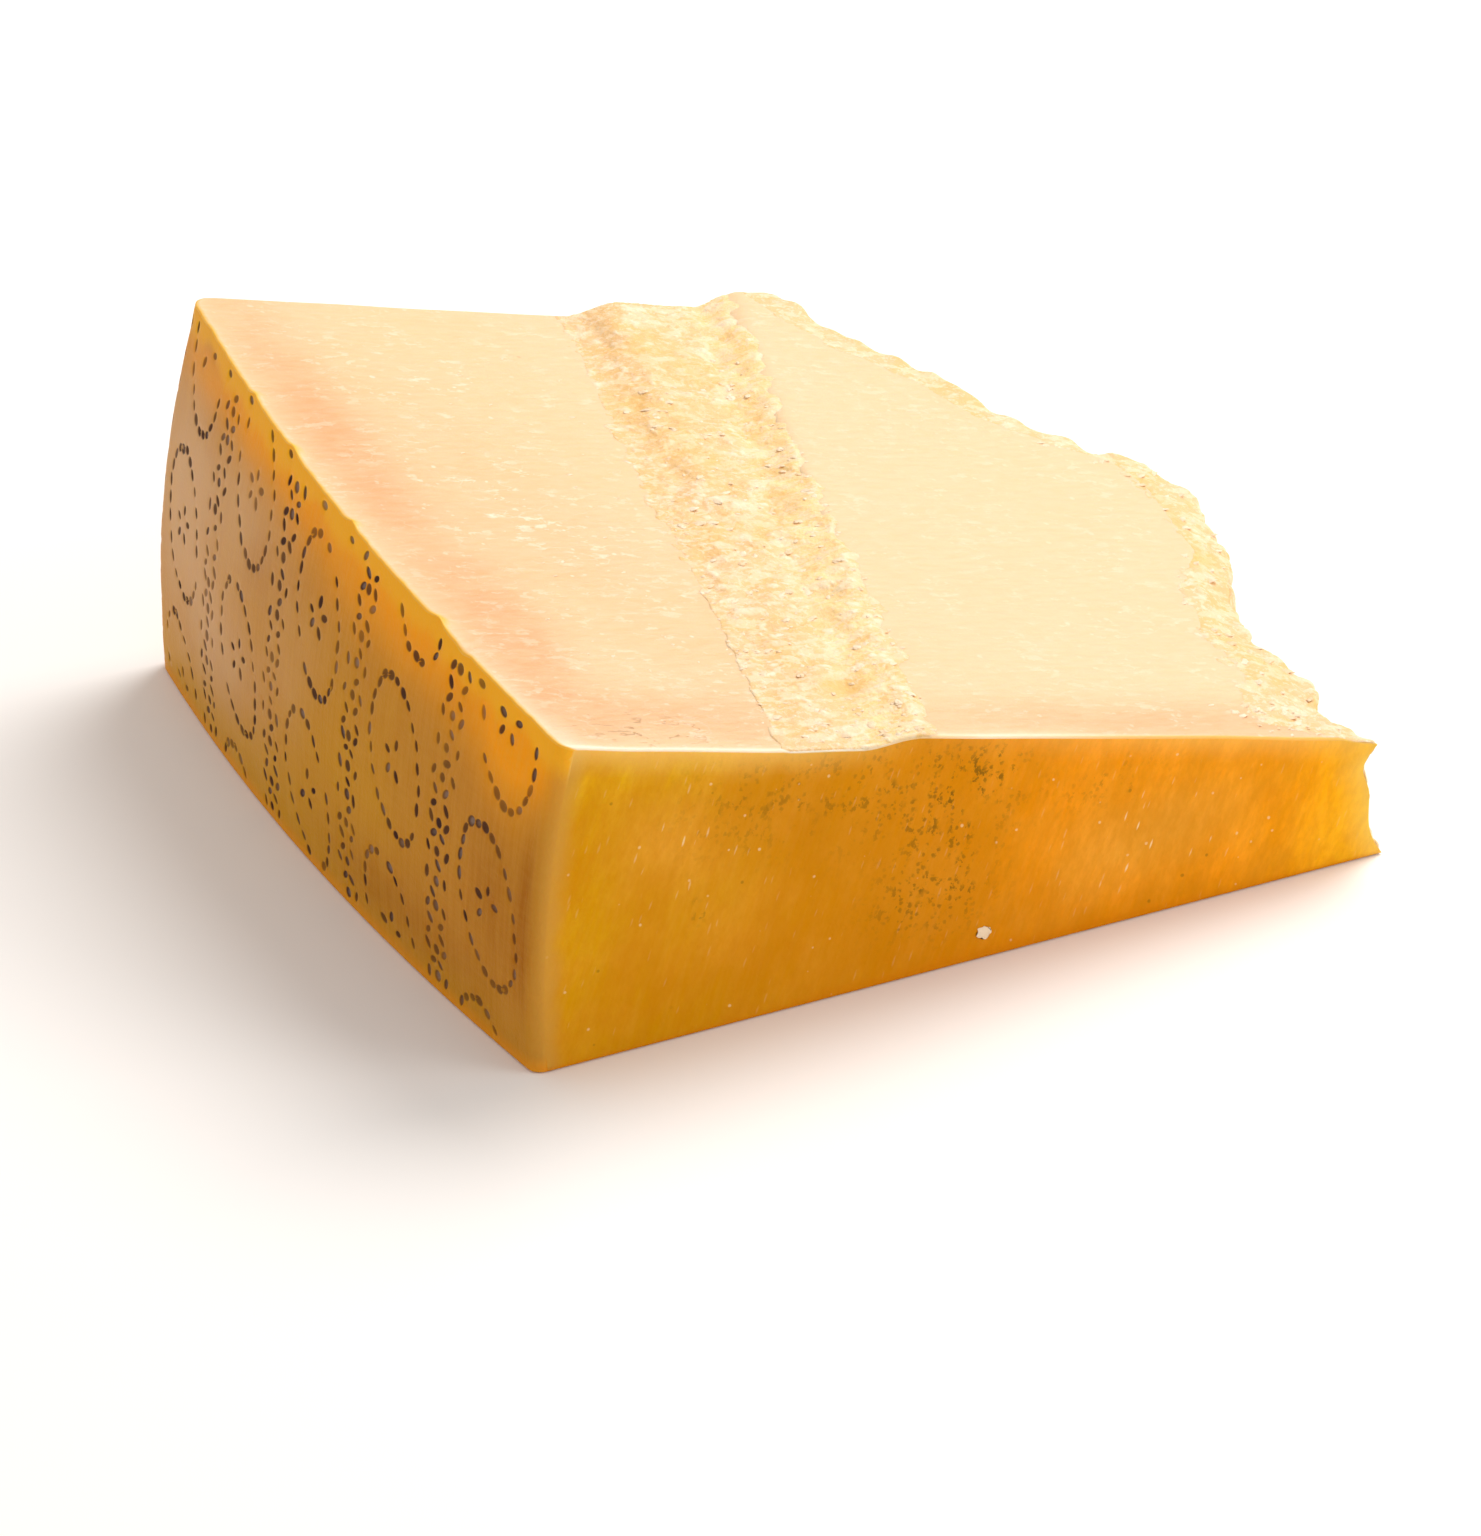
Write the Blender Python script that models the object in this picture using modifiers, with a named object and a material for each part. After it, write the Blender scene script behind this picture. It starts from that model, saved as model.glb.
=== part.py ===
"""A wedge of aged hard cheese, split from a large wheel and lying on one of its two cuts.

Metres, +Z up from the lower cut. X runs along the wheel's radius, from the rind at -X to the broken tip at +X.
Y is the direction of the wheel's axis, so the wheel's two flat faces are the wedge's front and back.
The origin is on the lower cut, under the middle of the wedge.

The wheel is turned first. Then three cutters shape the wedge: the lower knife cut, the upper cut with its torn
strip, and the broken end.
"""

import math

import bmesh
import bpy
import numpy as np
from mathutils import Vector, noise

# The wheel that the wedge comes from.
WHEEL_RADIUS = 0.2215
WHEEL_HEIGHT = 0.190
RIND_BULGE = 0.0055
EDGE_RADIUS = 0.008
TURNING_STEPS = 240
SIDE_STEPS = 18
EDGE_STEPS = 5

# The wheel's axis runs along Y, a little above the lower cut.
AXIS_X = 0.1215
AXIS_Z = 0.010
FRONT_Y = -WHEEL_HEIGHT / 2

# The upper cut: its height over the wheel's axis at the front face, and its slopes along X and Y.
CUT_HEIGHT = 0.0134
CUT_SLOPE_X = -0.2447
CUT_SLOPE_Y = 0.0902

# The lip where the knife rode up at the front corner of the rind.
LIP_HEIGHT = 0.0018
LIP_WIDTH = 0.014
LIP_X = -0.0915
LIP_DEPTH = 0.110

# The torn strip between the upper cut's two smooth fields. Across it the cut steps up twice: at its left border,
# and again over a stretch of it that lies further right at the back.
STRIP_LEFT_X = -0.0470
STRIP_SLANT = 0.243
STRIP_WIDTH = 0.0345
STRIP_FADE = 0.004
STEP_FRONT = 0.0033
STEP_BACK = 0.0080
STEP_AT_LEFT = 0.35
RISE_FRONT = (0.008, 0.026)
RISE_BACK = (0.030, 0.042)
CRUMB_SIZE = 0.0065
CRUMB_RELIEF = 0.0018

# The broken end seen from above: (distance behind the front face, distance short of the wheel's axis).
BREAK_OUTLINE = (
    (-0.020, 0.0370),
    (0.000, 0.0375),
    (0.010, 0.0410),
    (0.016, 0.0405),
    (0.026, 0.0355),
    (0.033, 0.0365),
    (0.042, 0.0395),
    (0.052, 0.0370),
    (0.068, 0.0295),
    (0.076, 0.0230),
    (0.090, 0.0190),
    (0.103, 0.0160),
    (0.116, 0.0210),
    (0.120, 0.0300),
    (0.133, 0.0460),
    (0.149, 0.0520),
    (0.173, 0.0690),
    (0.190, 0.0745),
    (0.210, 0.0800),
)
BREAK_HOLLOW = 0.003
HOLLOW_SHARPNESS = 5
CRAG_SIZE = 0.013
CRAG_RELIEF = 0.0035
CRAG_FADE = 0.008
GRAIN_SIZE = 0.005
GRAIN_RELIEF = 0.0012

# The shoulder where the upper cut crumbled down beside the broken end:
# (distance behind the front face, width, drop at the outer edge).
SHOULDER = (
    (0.000, 0.010, 0.0000),
    (0.008, 0.022, 0.0020),
    (0.025, 0.018, 0.0025),
    (0.060, 0.011, 0.0025),
    (0.100, 0.014, 0.0025),
    (0.125, 0.010, 0.0000),
)

# How far the cutters reach past the wedge, and the spacing of their grid lines.
CUTTER_REACH = 0.015
CUTTER_TOP = AXIS_Z + WHEEL_RADIUS + RIND_BULGE + CUTTER_REACH
FINE_TOP = 0.070
GRID_DEPTH_STEP = 0.0036
BREAK_STEP = 0.0034
UPPER_CUT_LINES = (
    (-0.120, -0.080, 0.013),
    (-0.080, -0.025, 0.005),
    (-0.025, 0.000, 0.012),
    (0.000, 0.042, 0.003),
    (0.042, 0.100, 0.013),
    (0.100, 0.145, 0.004),
)

MERGE_DISTANCE = 0.00001

COLLECTION_NAME = "aged_cheese_wedge"
NODE_NAME = "cheese"
PASTE_COLOUR = (0.87, 0.66, 0.33, 1.0)
PASTE_ROUGHNESS = 0.5
SHARP_ANGLE = math.radians(35.0)


def clear_scene():
    """Remove every object, so that the script starts from an empty scene."""
    for scene_object in list(bpy.data.objects):
        bpy.data.objects.remove(scene_object, do_unlink=True)


def new_collection(name):
    """Make a collection in the scene."""
    collection = bpy.data.collections.new(name)
    bpy.context.scene.collection.children.link(collection)
    return collection


def new_object(name, mesh_builder, collection):
    """Turn a bmesh into an object in the collection, and free the bmesh."""
    mesh = bpy.data.meshes.new(name)
    mesh_builder.to_mesh(mesh)
    mesh_builder.free()
    made = bpy.data.objects.new(name, mesh)
    collection.objects.link(made)
    return made


def smooth_step(value):
    """Ease from 0 to 1 as the value goes from 0 to 1."""
    held = min(max(value, 0.0), 1.0)
    return held * held * (3.0 - 2.0 * held)


def rind_radius(height):
    """Radius of the wheel's convex side, at a height measured from the wheel's middle."""
    return WHEEL_RADIUS + RIND_BULGE * (1.0 - (2.0 * height / WHEEL_HEIGHT) ** 2)


def read_table(rows, column, place):
    """A value from a table whose first column is the distance behind the front face."""
    return float(np.interp(place, [row[0] for row in rows], [row[column] for row in rows]))


def relief(x, y, z, size, depth):
    """Smooth unevenness of the given lump size, up to about the given depth either way."""
    return noise.noise(Vector((x, y, z)) / size) * depth


def strip_left(y):
    """X of the torn strip's left border."""
    return STRIP_LEFT_X + STRIP_SLANT * (y - FRONT_Y)


def break_line(y):
    """X of the broken end as seen from above."""
    return AXIS_X - read_table(BREAK_OUTLINE, 1, y - FRONT_Y)


def break_surface(y, z):
    """X of the broken face: hollow in its middle height, with crags that fade out towards its upper edge."""
    face_height = top_height(break_line(y), y)
    below_edge = face_height - z
    from_middle = abs(2.0 * z / face_height - 1.0)
    hollow = BREAK_HOLLOW * max(0.0, 1.0 - from_middle ** HOLLOW_SHARPNESS)
    crags = relief(WHEEL_RADIUS, y, z, CRAG_SIZE, CRAG_RELIEF) * smooth_step(below_edge / CRAG_FADE)
    grains = relief(0.0, y, z, GRAIN_SIZE, GRAIN_RELIEF)
    return break_line(y) - hollow + crags + grains


def shoulder_drop(x, y):
    """How far the upper cut has crumbled down beside the broken end."""
    depth = y - FRONT_Y
    width = read_table(SHOULDER, 1, depth)
    share = smooth_step((x - break_line(y) + width) / width)
    return read_table(SHOULDER, 2, depth) * share + relief(x, y, WHEEL_RADIUS, CRUMB_SIZE, CRUMB_RELIEF) * share


def lip(x, y):
    """How far the upper cut rides up at the front corner of the rind."""
    near_rind = smooth_step((LIP_X + LIP_WIDTH - x) / LIP_WIDTH)
    return LIP_HEIGHT * near_rind * smooth_step(1.0 - (y - FRONT_Y) / LIP_DEPTH)


def top_height(x, y):
    """Height of the upper cut: two smooth fields, and the torn strip that steps up between them."""
    depth = y - FRONT_Y
    to_back = depth / WHEEL_HEIGHT
    left_field = CUT_HEIGHT + CUT_SLOPE_X * (x - AXIS_X) + CUT_SLOPE_Y * depth
    step = STEP_FRONT + (STEP_BACK - STEP_FRONT) * to_back
    rise_start, rise_end = (front + (back - front) * to_back for front, back in zip(RISE_FRONT, RISE_BACK))
    across = x - strip_left(y)
    first_rise = STEP_AT_LEFT * smooth_step(across / STRIP_FADE)
    second_rise = (1.0 - STEP_AT_LEFT) * smooth_step((across - rise_start) / (rise_end - rise_start))
    inside = smooth_step(across / STRIP_FADE) * smooth_step((STRIP_WIDTH - across) / STRIP_FADE)
    crumbs = relief(x, y, 0.0, CRUMB_SIZE, CRUMB_RELIEF) * inside
    return left_field + lip(x, y) + step * (first_rise + second_rise) + crumbs


def grid_lines(spans):
    """Positions of grid lines over spans of (start, end, spacing)."""
    lines = []
    for start, end, spacing in spans:
        count = max(1, round((end - start) / spacing))
        lines += [start + (end - start) * index / count for index in range(count)]
    lines.append(spans[-1][1])
    return lines


def grid_block(name, first_lines, second_lines, place, push, collection):
    """A closed block: a grid whose corners go where place says, pushed through space to its far side."""
    builder = bmesh.new()
    bmesh.ops.create_grid(
        builder, x_segments=len(first_lines) - 1, y_segments=len(second_lines) - 1, size=1.0
    )
    for corner in builder.verts:
        column = round((corner.co.x + 1.0) / 2.0 * (len(first_lines) - 1))
        row = round((corner.co.y + 1.0) / 2.0 * (len(second_lines) - 1))
        corner.co = place(first_lines[column], second_lines[row])
    bmesh.ops.triangulate(builder, faces=builder.faces[:])
    pushed = bmesh.ops.extrude_face_region(builder, geom=builder.faces[:], use_keep_orig=True)
    for element in pushed["geom"]:
        if isinstance(element, bmesh.types.BMVert):
            element.co = push(element.co)
    bmesh.ops.recalc_face_normals(builder, faces=builder.faces[:])
    return new_object(name, builder, collection)


def wheel_profile():
    """Half section of the wheel, from the axis over the rounded edges and the convex side back to the axis."""
    edge_angle = math.atan(4.0 * RIND_BULGE / WHEEL_HEIGHT)
    side_end = WHEEL_HEIGHT / 2 - EDGE_RADIUS * (1.0 - math.sin(edge_angle))
    centre_radius = rind_radius(side_end) - EDGE_RADIUS * math.cos(edge_angle)
    centre_height = WHEEL_HEIGHT / 2 - EDGE_RADIUS
    upper_half = [(0.0, WHEEL_HEIGHT / 2)]
    for index in range(EDGE_STEPS + 1):
        angle = math.pi / 2 + (edge_angle - math.pi / 2) * index / EDGE_STEPS
        upper_half.append(
            (centre_radius + EDGE_RADIUS * math.cos(angle), centre_height + EDGE_RADIUS * math.sin(angle))
        )
    side = []
    for index in range(1, SIDE_STEPS):
        height = side_end * (1.0 - 2.0 * index / SIDE_STEPS)
        side.append((rind_radius(height), height))
    lower_half = [(radius, -height) for radius, height in reversed(upper_half)]
    return upper_half + side + lower_half


def turn_wheel(collection):
    """The whole wheel, turned about its axis, which then lies along Y."""
    builder = bmesh.new()
    corners = [builder.verts.new((radius, 0.0, height)) for radius, height in wheel_profile()]
    for first, second in zip(corners, corners[1:]):
        builder.edges.new((first, second))
    wheel = new_object(NODE_NAME, builder, collection)
    turning = wheel.modifiers.new("turning", "SCREW")
    turning.axis = "Z"
    turning.angle = math.tau
    turning.steps = TURNING_STEPS
    turning.render_steps = TURNING_STEPS
    turning.use_merge_vertices = True
    turning.merge_threshold = MERGE_DISTANCE
    wheel.location = (AXIS_X, 0.0, AXIS_Z)
    wheel.rotation_euler = (math.pi / 2, 0.0, 0.0)
    return wheel


def lower_cutter(collection):
    """A box under the lower cut, as large as the wheel."""
    builder = bmesh.new()
    bmesh.ops.create_cube(builder, size=1.0)
    size = 2.0 * (WHEEL_RADIUS + RIND_BULGE) + CUTTER_REACH
    bmesh.ops.scale(builder, vec=(size, size, size), verts=builder.verts[:])
    cutter = new_object("lower_cutter", builder, collection)
    cutter.location = (AXIS_X, 0.0, -size / 2)
    return cutter


def upper_cutter(collection):
    """A block over the upper cut. Its grid lines run along the torn strip."""
    reach = WHEEL_HEIGHT / 2 + CUTTER_REACH
    depth_lines = grid_lines(((-reach, reach, GRID_DEPTH_STEP),))

    def place(across, y):
        x = strip_left(y) + across
        return Vector((x, y, top_height(x, y) - shoulder_drop(x, y)))

    def push(corner):
        return Vector((corner.x, corner.y, CUTTER_TOP))

    return grid_block("upper_cutter", grid_lines(UPPER_CUT_LINES), depth_lines, place, push, collection)


def end_cutter(collection):
    """A block that takes off the wheel's middle and far side, along the broken end."""
    reach = WHEEL_HEIGHT / 2 + CUTTER_REACH
    depth_lines = grid_lines(((-reach, reach, BREAK_STEP),))
    height_lines = grid_lines(((-CUTTER_REACH, FINE_TOP, BREAK_STEP), (FINE_TOP, CUTTER_TOP, CUTTER_TOP)))
    far_x = AXIS_X + WHEEL_RADIUS + RIND_BULGE + CUTTER_REACH

    def place(y, z):
        return Vector((break_surface(y, z), y, z))

    def push(corner):
        return Vector((far_x, corner.y, corner.z))

    return grid_block("end_cutter", depth_lines, height_lines, place, push, collection)


def cut(target, cutter):
    """Take the cutter's volume from the target, and show the cutter as a guide only."""
    boolean = target.modifiers.new(cutter.name, "BOOLEAN")
    boolean.operation = "DIFFERENCE"
    boolean.solver = "EXACT"
    boolean.object = cutter
    cutter.hide_render = True
    cutter.display_type = "WIRE"


def paste_material():
    """The pale paste of the cheese, as a plain surface."""
    material = bpy.data.materials.new("paste")
    material.use_nodes = True
    shader = material.node_tree.nodes["Principled BSDF"]
    shader.inputs["Base Color"].default_value = PASTE_COLOUR
    shader.inputs["Roughness"].default_value = PASTE_ROUGHNESS
    shader.inputs["Metallic"].default_value = 0.0
    return material


def apply_cuts(wedge):
    """Give the wedge its cut mesh, shaded smooth between the sharp edges."""
    bpy.context.view_layer.update()
    shape = wedge.evaluated_get(bpy.context.evaluated_depsgraph_get())
    profile = wedge.data
    wedge.data = bpy.data.meshes.new_from_object(shape)
    wedge.modifiers.clear()
    bpy.data.meshes.remove(profile)
    wedge.data.shade_smooth()
    wedge.data.set_sharp_from_angle(angle=SHARP_ANGLE)


def build_wedge():
    """Turn the wheel and cut the wedge out of it."""
    parts = new_collection(COLLECTION_NAME)
    cutters = new_collection("cutters")
    wedge = turn_wheel(parts)
    wedge.data.materials.append(paste_material())
    cut(wedge, lower_cutter(cutters))
    cut(wedge, end_cutter(cutters))
    cut(wedge, upper_cutter(cutters))
    apply_cuts(wedge)
    return wedge


clear_scene()
build_wedge()
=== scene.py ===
"""Dresses a wedge of aged hard cheese: its cut paste, torn strip, broken end and rind, on a white studio floor.

Metres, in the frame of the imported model: +Z up from the lower cut, X from the rind to the broken tip, and Y
from the shown flat face to the hidden one.
"""

import logging
import math
import random
from collections.abc import Callable, Iterable, Sequence
from dataclasses import dataclass, field
from enum import Enum

import bmesh
import bpy
import numpy as np
from mathutils import Euler, Matrix, Vector, noise
from mathutils.geometry import delaunay_2d_cdt


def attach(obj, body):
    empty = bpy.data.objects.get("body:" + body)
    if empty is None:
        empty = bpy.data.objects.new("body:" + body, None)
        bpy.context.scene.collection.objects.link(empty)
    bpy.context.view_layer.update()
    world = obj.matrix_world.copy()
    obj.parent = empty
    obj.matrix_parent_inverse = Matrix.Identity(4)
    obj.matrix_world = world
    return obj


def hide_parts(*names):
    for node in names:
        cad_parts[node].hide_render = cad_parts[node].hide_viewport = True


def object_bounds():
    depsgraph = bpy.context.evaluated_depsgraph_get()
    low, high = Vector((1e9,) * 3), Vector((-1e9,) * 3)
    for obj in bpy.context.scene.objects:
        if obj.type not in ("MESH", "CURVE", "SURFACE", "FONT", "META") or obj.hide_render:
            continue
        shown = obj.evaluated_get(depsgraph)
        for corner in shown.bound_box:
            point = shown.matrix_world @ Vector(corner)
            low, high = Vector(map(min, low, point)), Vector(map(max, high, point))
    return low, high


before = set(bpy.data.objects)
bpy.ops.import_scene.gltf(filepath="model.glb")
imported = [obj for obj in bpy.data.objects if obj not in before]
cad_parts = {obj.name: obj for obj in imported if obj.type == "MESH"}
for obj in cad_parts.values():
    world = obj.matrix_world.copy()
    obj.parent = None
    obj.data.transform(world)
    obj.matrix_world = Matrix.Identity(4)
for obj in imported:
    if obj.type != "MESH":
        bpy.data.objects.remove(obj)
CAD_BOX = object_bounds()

LOG = logging.getLogger("wedge")

MM = 0.001
NODE = "cheese"
BODY = "root"

Pair = tuple[float, float]
Point = tuple[float, float, float]
Colour = tuple[float, float, float]
Table = tuple[tuple[float, ...], ...]
Socket = bpy.types.NodeSocket
Sockets = bpy.types.bpy_prop_collection
Ball = tuple[list[Vector], list[tuple[int, ...]]]


class Slot(Enum):
    """The record's material slots."""

    PASTE = "paste"
    RIND = "rind"


class Mask(Enum):
    """Values that the meshes carry at each corner for their materials."""

    TORN = "torn"
    # Low spots of torn paste, painted deeper orange for light scattered in them.
    HOLLOW = "hollow"
    TIP = "tip"
    # Peach tone on the upper cut, painted shade near the rind.
    WARM = "warm"
    # Painted highlight along the upper cut's front edge and in a band by the rind.
    PALE = "pale"
    FLECKED = "flecked"
    CRACKED = "cracked"
    FLAT = "flat"
    # Rounded edges of the rind, painted with a highlight.
    ROUNDING = "rounding"
    RIM = "rim"
    # Band along the foot: painted shadow on the flat faces, orange-gold on the side.
    FOOT = "foot"
    LIGHT = "light"
    DEEP = "deep"
    # Painted glow of light through thin parts, and painted light on the strip's shaded rise.
    GLOW = "glow"
    GOLDEN = "golden"
    SPECKLED = "speckled"
    MARK = "mark"
    # Painted highlight in the middle of a pricked dot.
    MARK_CORE = "mark_core"


Masks = dict[Mask, float]
Value = float | Sequence[float] | Socket | Mask


def smooth_step(value: float) -> float:
    """Ease from 0 to 1 as the value goes from 0 to 1."""
    held = min(max(value, 0.0), 1.0)
    return held * held * (3.0 - 2.0 * held)


def bell(distance: float) -> float:
    """A soft bump: 1 at a distance of 0, and next to nothing from 2 on."""
    return math.exp(-distance * distance)


def between(ends: Pair, part: float, whole: float = 1.0) -> float:
    """The value at a part of the whole way from the first end to the second."""
    return ends[0] + (ends[1] - ends[0]) * part / whole


def relief(x: float, y: float, z: float, size: float, depth: float) -> float:
    """Smooth unevenness of the given lump size, up to about the given depth either way."""
    return noise.noise(Vector((x, y, z)) / size) * depth


def read_table(rows: Table, column: int, place: float) -> float:
    """A value from a table whose first column is the place that it holds for."""
    return float(np.interp(place, [row[0] for row in rows], [row[column] for row in rows]))


def round_off(distance: float, radius: float) -> float:
    """How far a surface falls at a distance from its edge, where the edge is rounded with the radius."""
    return radius * (1.0 - math.sqrt(1.0 - max(0.0, 1.0 - max(distance, 0.0) / radius) ** 2))


def inside_box(place: Iterable[float]) -> Point:
    """The place, moved into the solid's box if it lies outside it."""
    return tuple(min(max(value, low), high) for value, low, high in zip(place, *CAD_BOX))


def add_object(name: str, data: bpy.types.ID) -> bpy.types.Object:
    """Put an object into the scene."""
    made = bpy.data.objects.new(name, data)
    bpy.context.scene.collection.objects.link(made)
    return made


def cell_lump(place: Vector, size: float) -> Pair:
    """Read a field of rounded crumbs with creases between them.

    Args:
        place: Where to read it.
        size: Distance between crumbs.

    Returns:
        Height, from 0 in the creases to 1 on the tops, and a tone from 0 to 1 that each crumb has to itself.
    """
    distances, middles = noise.voronoi(place / size)
    height = 1.0 - min(1.5 * distances[0] ** 2, 1.0)
    return height, noise.cell(middles[0] * 57.3)


@dataclass(frozen=True)
class Patch:
    """A soft oval patch on a surface: middle and half sizes in millimetres, strength, and turn in degrees."""

    u: float
    v: float
    half_u: float
    half_v: float
    strength: float = 1.0
    turn: float = 0.0

    def at(self, u: float, v: float) -> float:
        """Strength at a place.

        Args:
            u: First coordinate in metres.
            v: Second coordinate in metres.

        Returns:
            The strength, which fades to nothing outside the oval.
        """
        du, dv = u / MM - self.u, v / MM - self.v
        cos, sin = math.cos(math.radians(self.turn)), math.sin(math.radians(self.turn))
        along, across = (du * cos + dv * sin) / self.half_u, (dv * cos - du * sin) / self.half_v
        return self.strength * math.exp(-along * along - across * across)


Patches = tuple[Patch, ...]
Tones = tuple[tuple[Mask, Patches], ...]


def patches(*rows: Sequence[float]) -> Patches:
    """Patches, each from a row of its values."""
    return tuple(Patch(*row) for row in rows)


def tones(**rows: Sequence[Sequence[float]]) -> Tones:
    """Lists of patches, each by the name of the mask that it feeds."""
    return tuple((Mask(name), patches(*values)) for name, values in rows.items())


def sum_patches(found: Patches, u: float, v: float) -> float:
    """Strength of several patches together, held to 1."""
    return min(1.0, sum(patch.at(u, v) for patch in found))


def tone_masks(found: Tones, u: float, v: float) -> Masks:
    """Values of the masks that lists of patches feed, at a place given in metres."""
    return {mask: sum_patches(listed, u, v) for mask, listed in found}


@dataclass(frozen=True)
class Wheel:
    """The wheel that the wedge was split from. Its axis runs along Y."""

    radius: float = 0.2215
    height: float = 0.190
    bulge: float = 0.0055
    edge_radii: Pair = (0.0030, 0.0052)
    axis_x: float = 0.1215
    axis_z: float = 0.010

    @property
    def front_y(self) -> float:
        """Y of the shown flat face."""
        return -self.height / 2

    def from_faces(self, y: float) -> float:
        """Distance from the nearer flat face."""
        return self.height / 2 - abs(y)

    def side_radius(self, y: float) -> float:
        """Radius of the convex side."""
        return self.radius + self.bulge * (1.0 - (2.0 * y / self.height) ** 2)

    def side_x(self, radius: float, z: float) -> float:
        """X of the rind at a height, for a circle of the given radius about the axis."""
        return self.axis_x - math.sqrt(radius**2 - (z - self.axis_z) ** 2)

    def profile(self, arc_steps: int, side_steps: int) -> list[Point]:
        """The rind's section from the front flat face over the convex side to the back one.

        Args:
            arc_steps: Steps round each rounded edge.
            side_steps: Steps along the convex side.

        Returns:
            Rows of (radius, y, angle of the outward normal from the radius towards +Y).
        """
        front_arc, back_arc = (self.edge_arc(edge_radius, arc_steps) for edge_radius in self.edge_radii)
        side = []
        for index in range(1, side_steps):
            y = between((front_arc[-1][1], -back_arc[-1][1]), index, side_steps)
            side.append((self.side_radius(y), y, math.atan(8.0 * self.bulge * y / self.height**2)))
        return front_arc + side + [(radius, -y, -angle) for radius, y, angle in reversed(back_arc)]

    def edge_arc(self, edge_radius: float, arc_steps: int) -> list[Point]:
        """The rounded edge between the front flat face and the side.

        Args:
            edge_radius: Radius of the rounding.
            arc_steps: Steps round it.

        Returns:
            Rows like the profile's.
        """
        edge_angle = math.atan(4.0 * self.bulge / self.height)
        side_end = self.height / 2 - edge_radius * (1.0 - math.sin(edge_angle))
        centre_radius = self.side_radius(side_end) - edge_radius * math.cos(edge_angle)
        centre_y = self.height / 2 - edge_radius
        arc = []
        for index in range(arc_steps + 1):
            angle = between((math.pi / 2, edge_angle), index, arc_steps)
            radius = centre_radius + edge_radius * math.cos(angle)
            arc.append((radius, -centre_y - edge_radius * math.sin(angle), -angle))
        return arc


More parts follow.
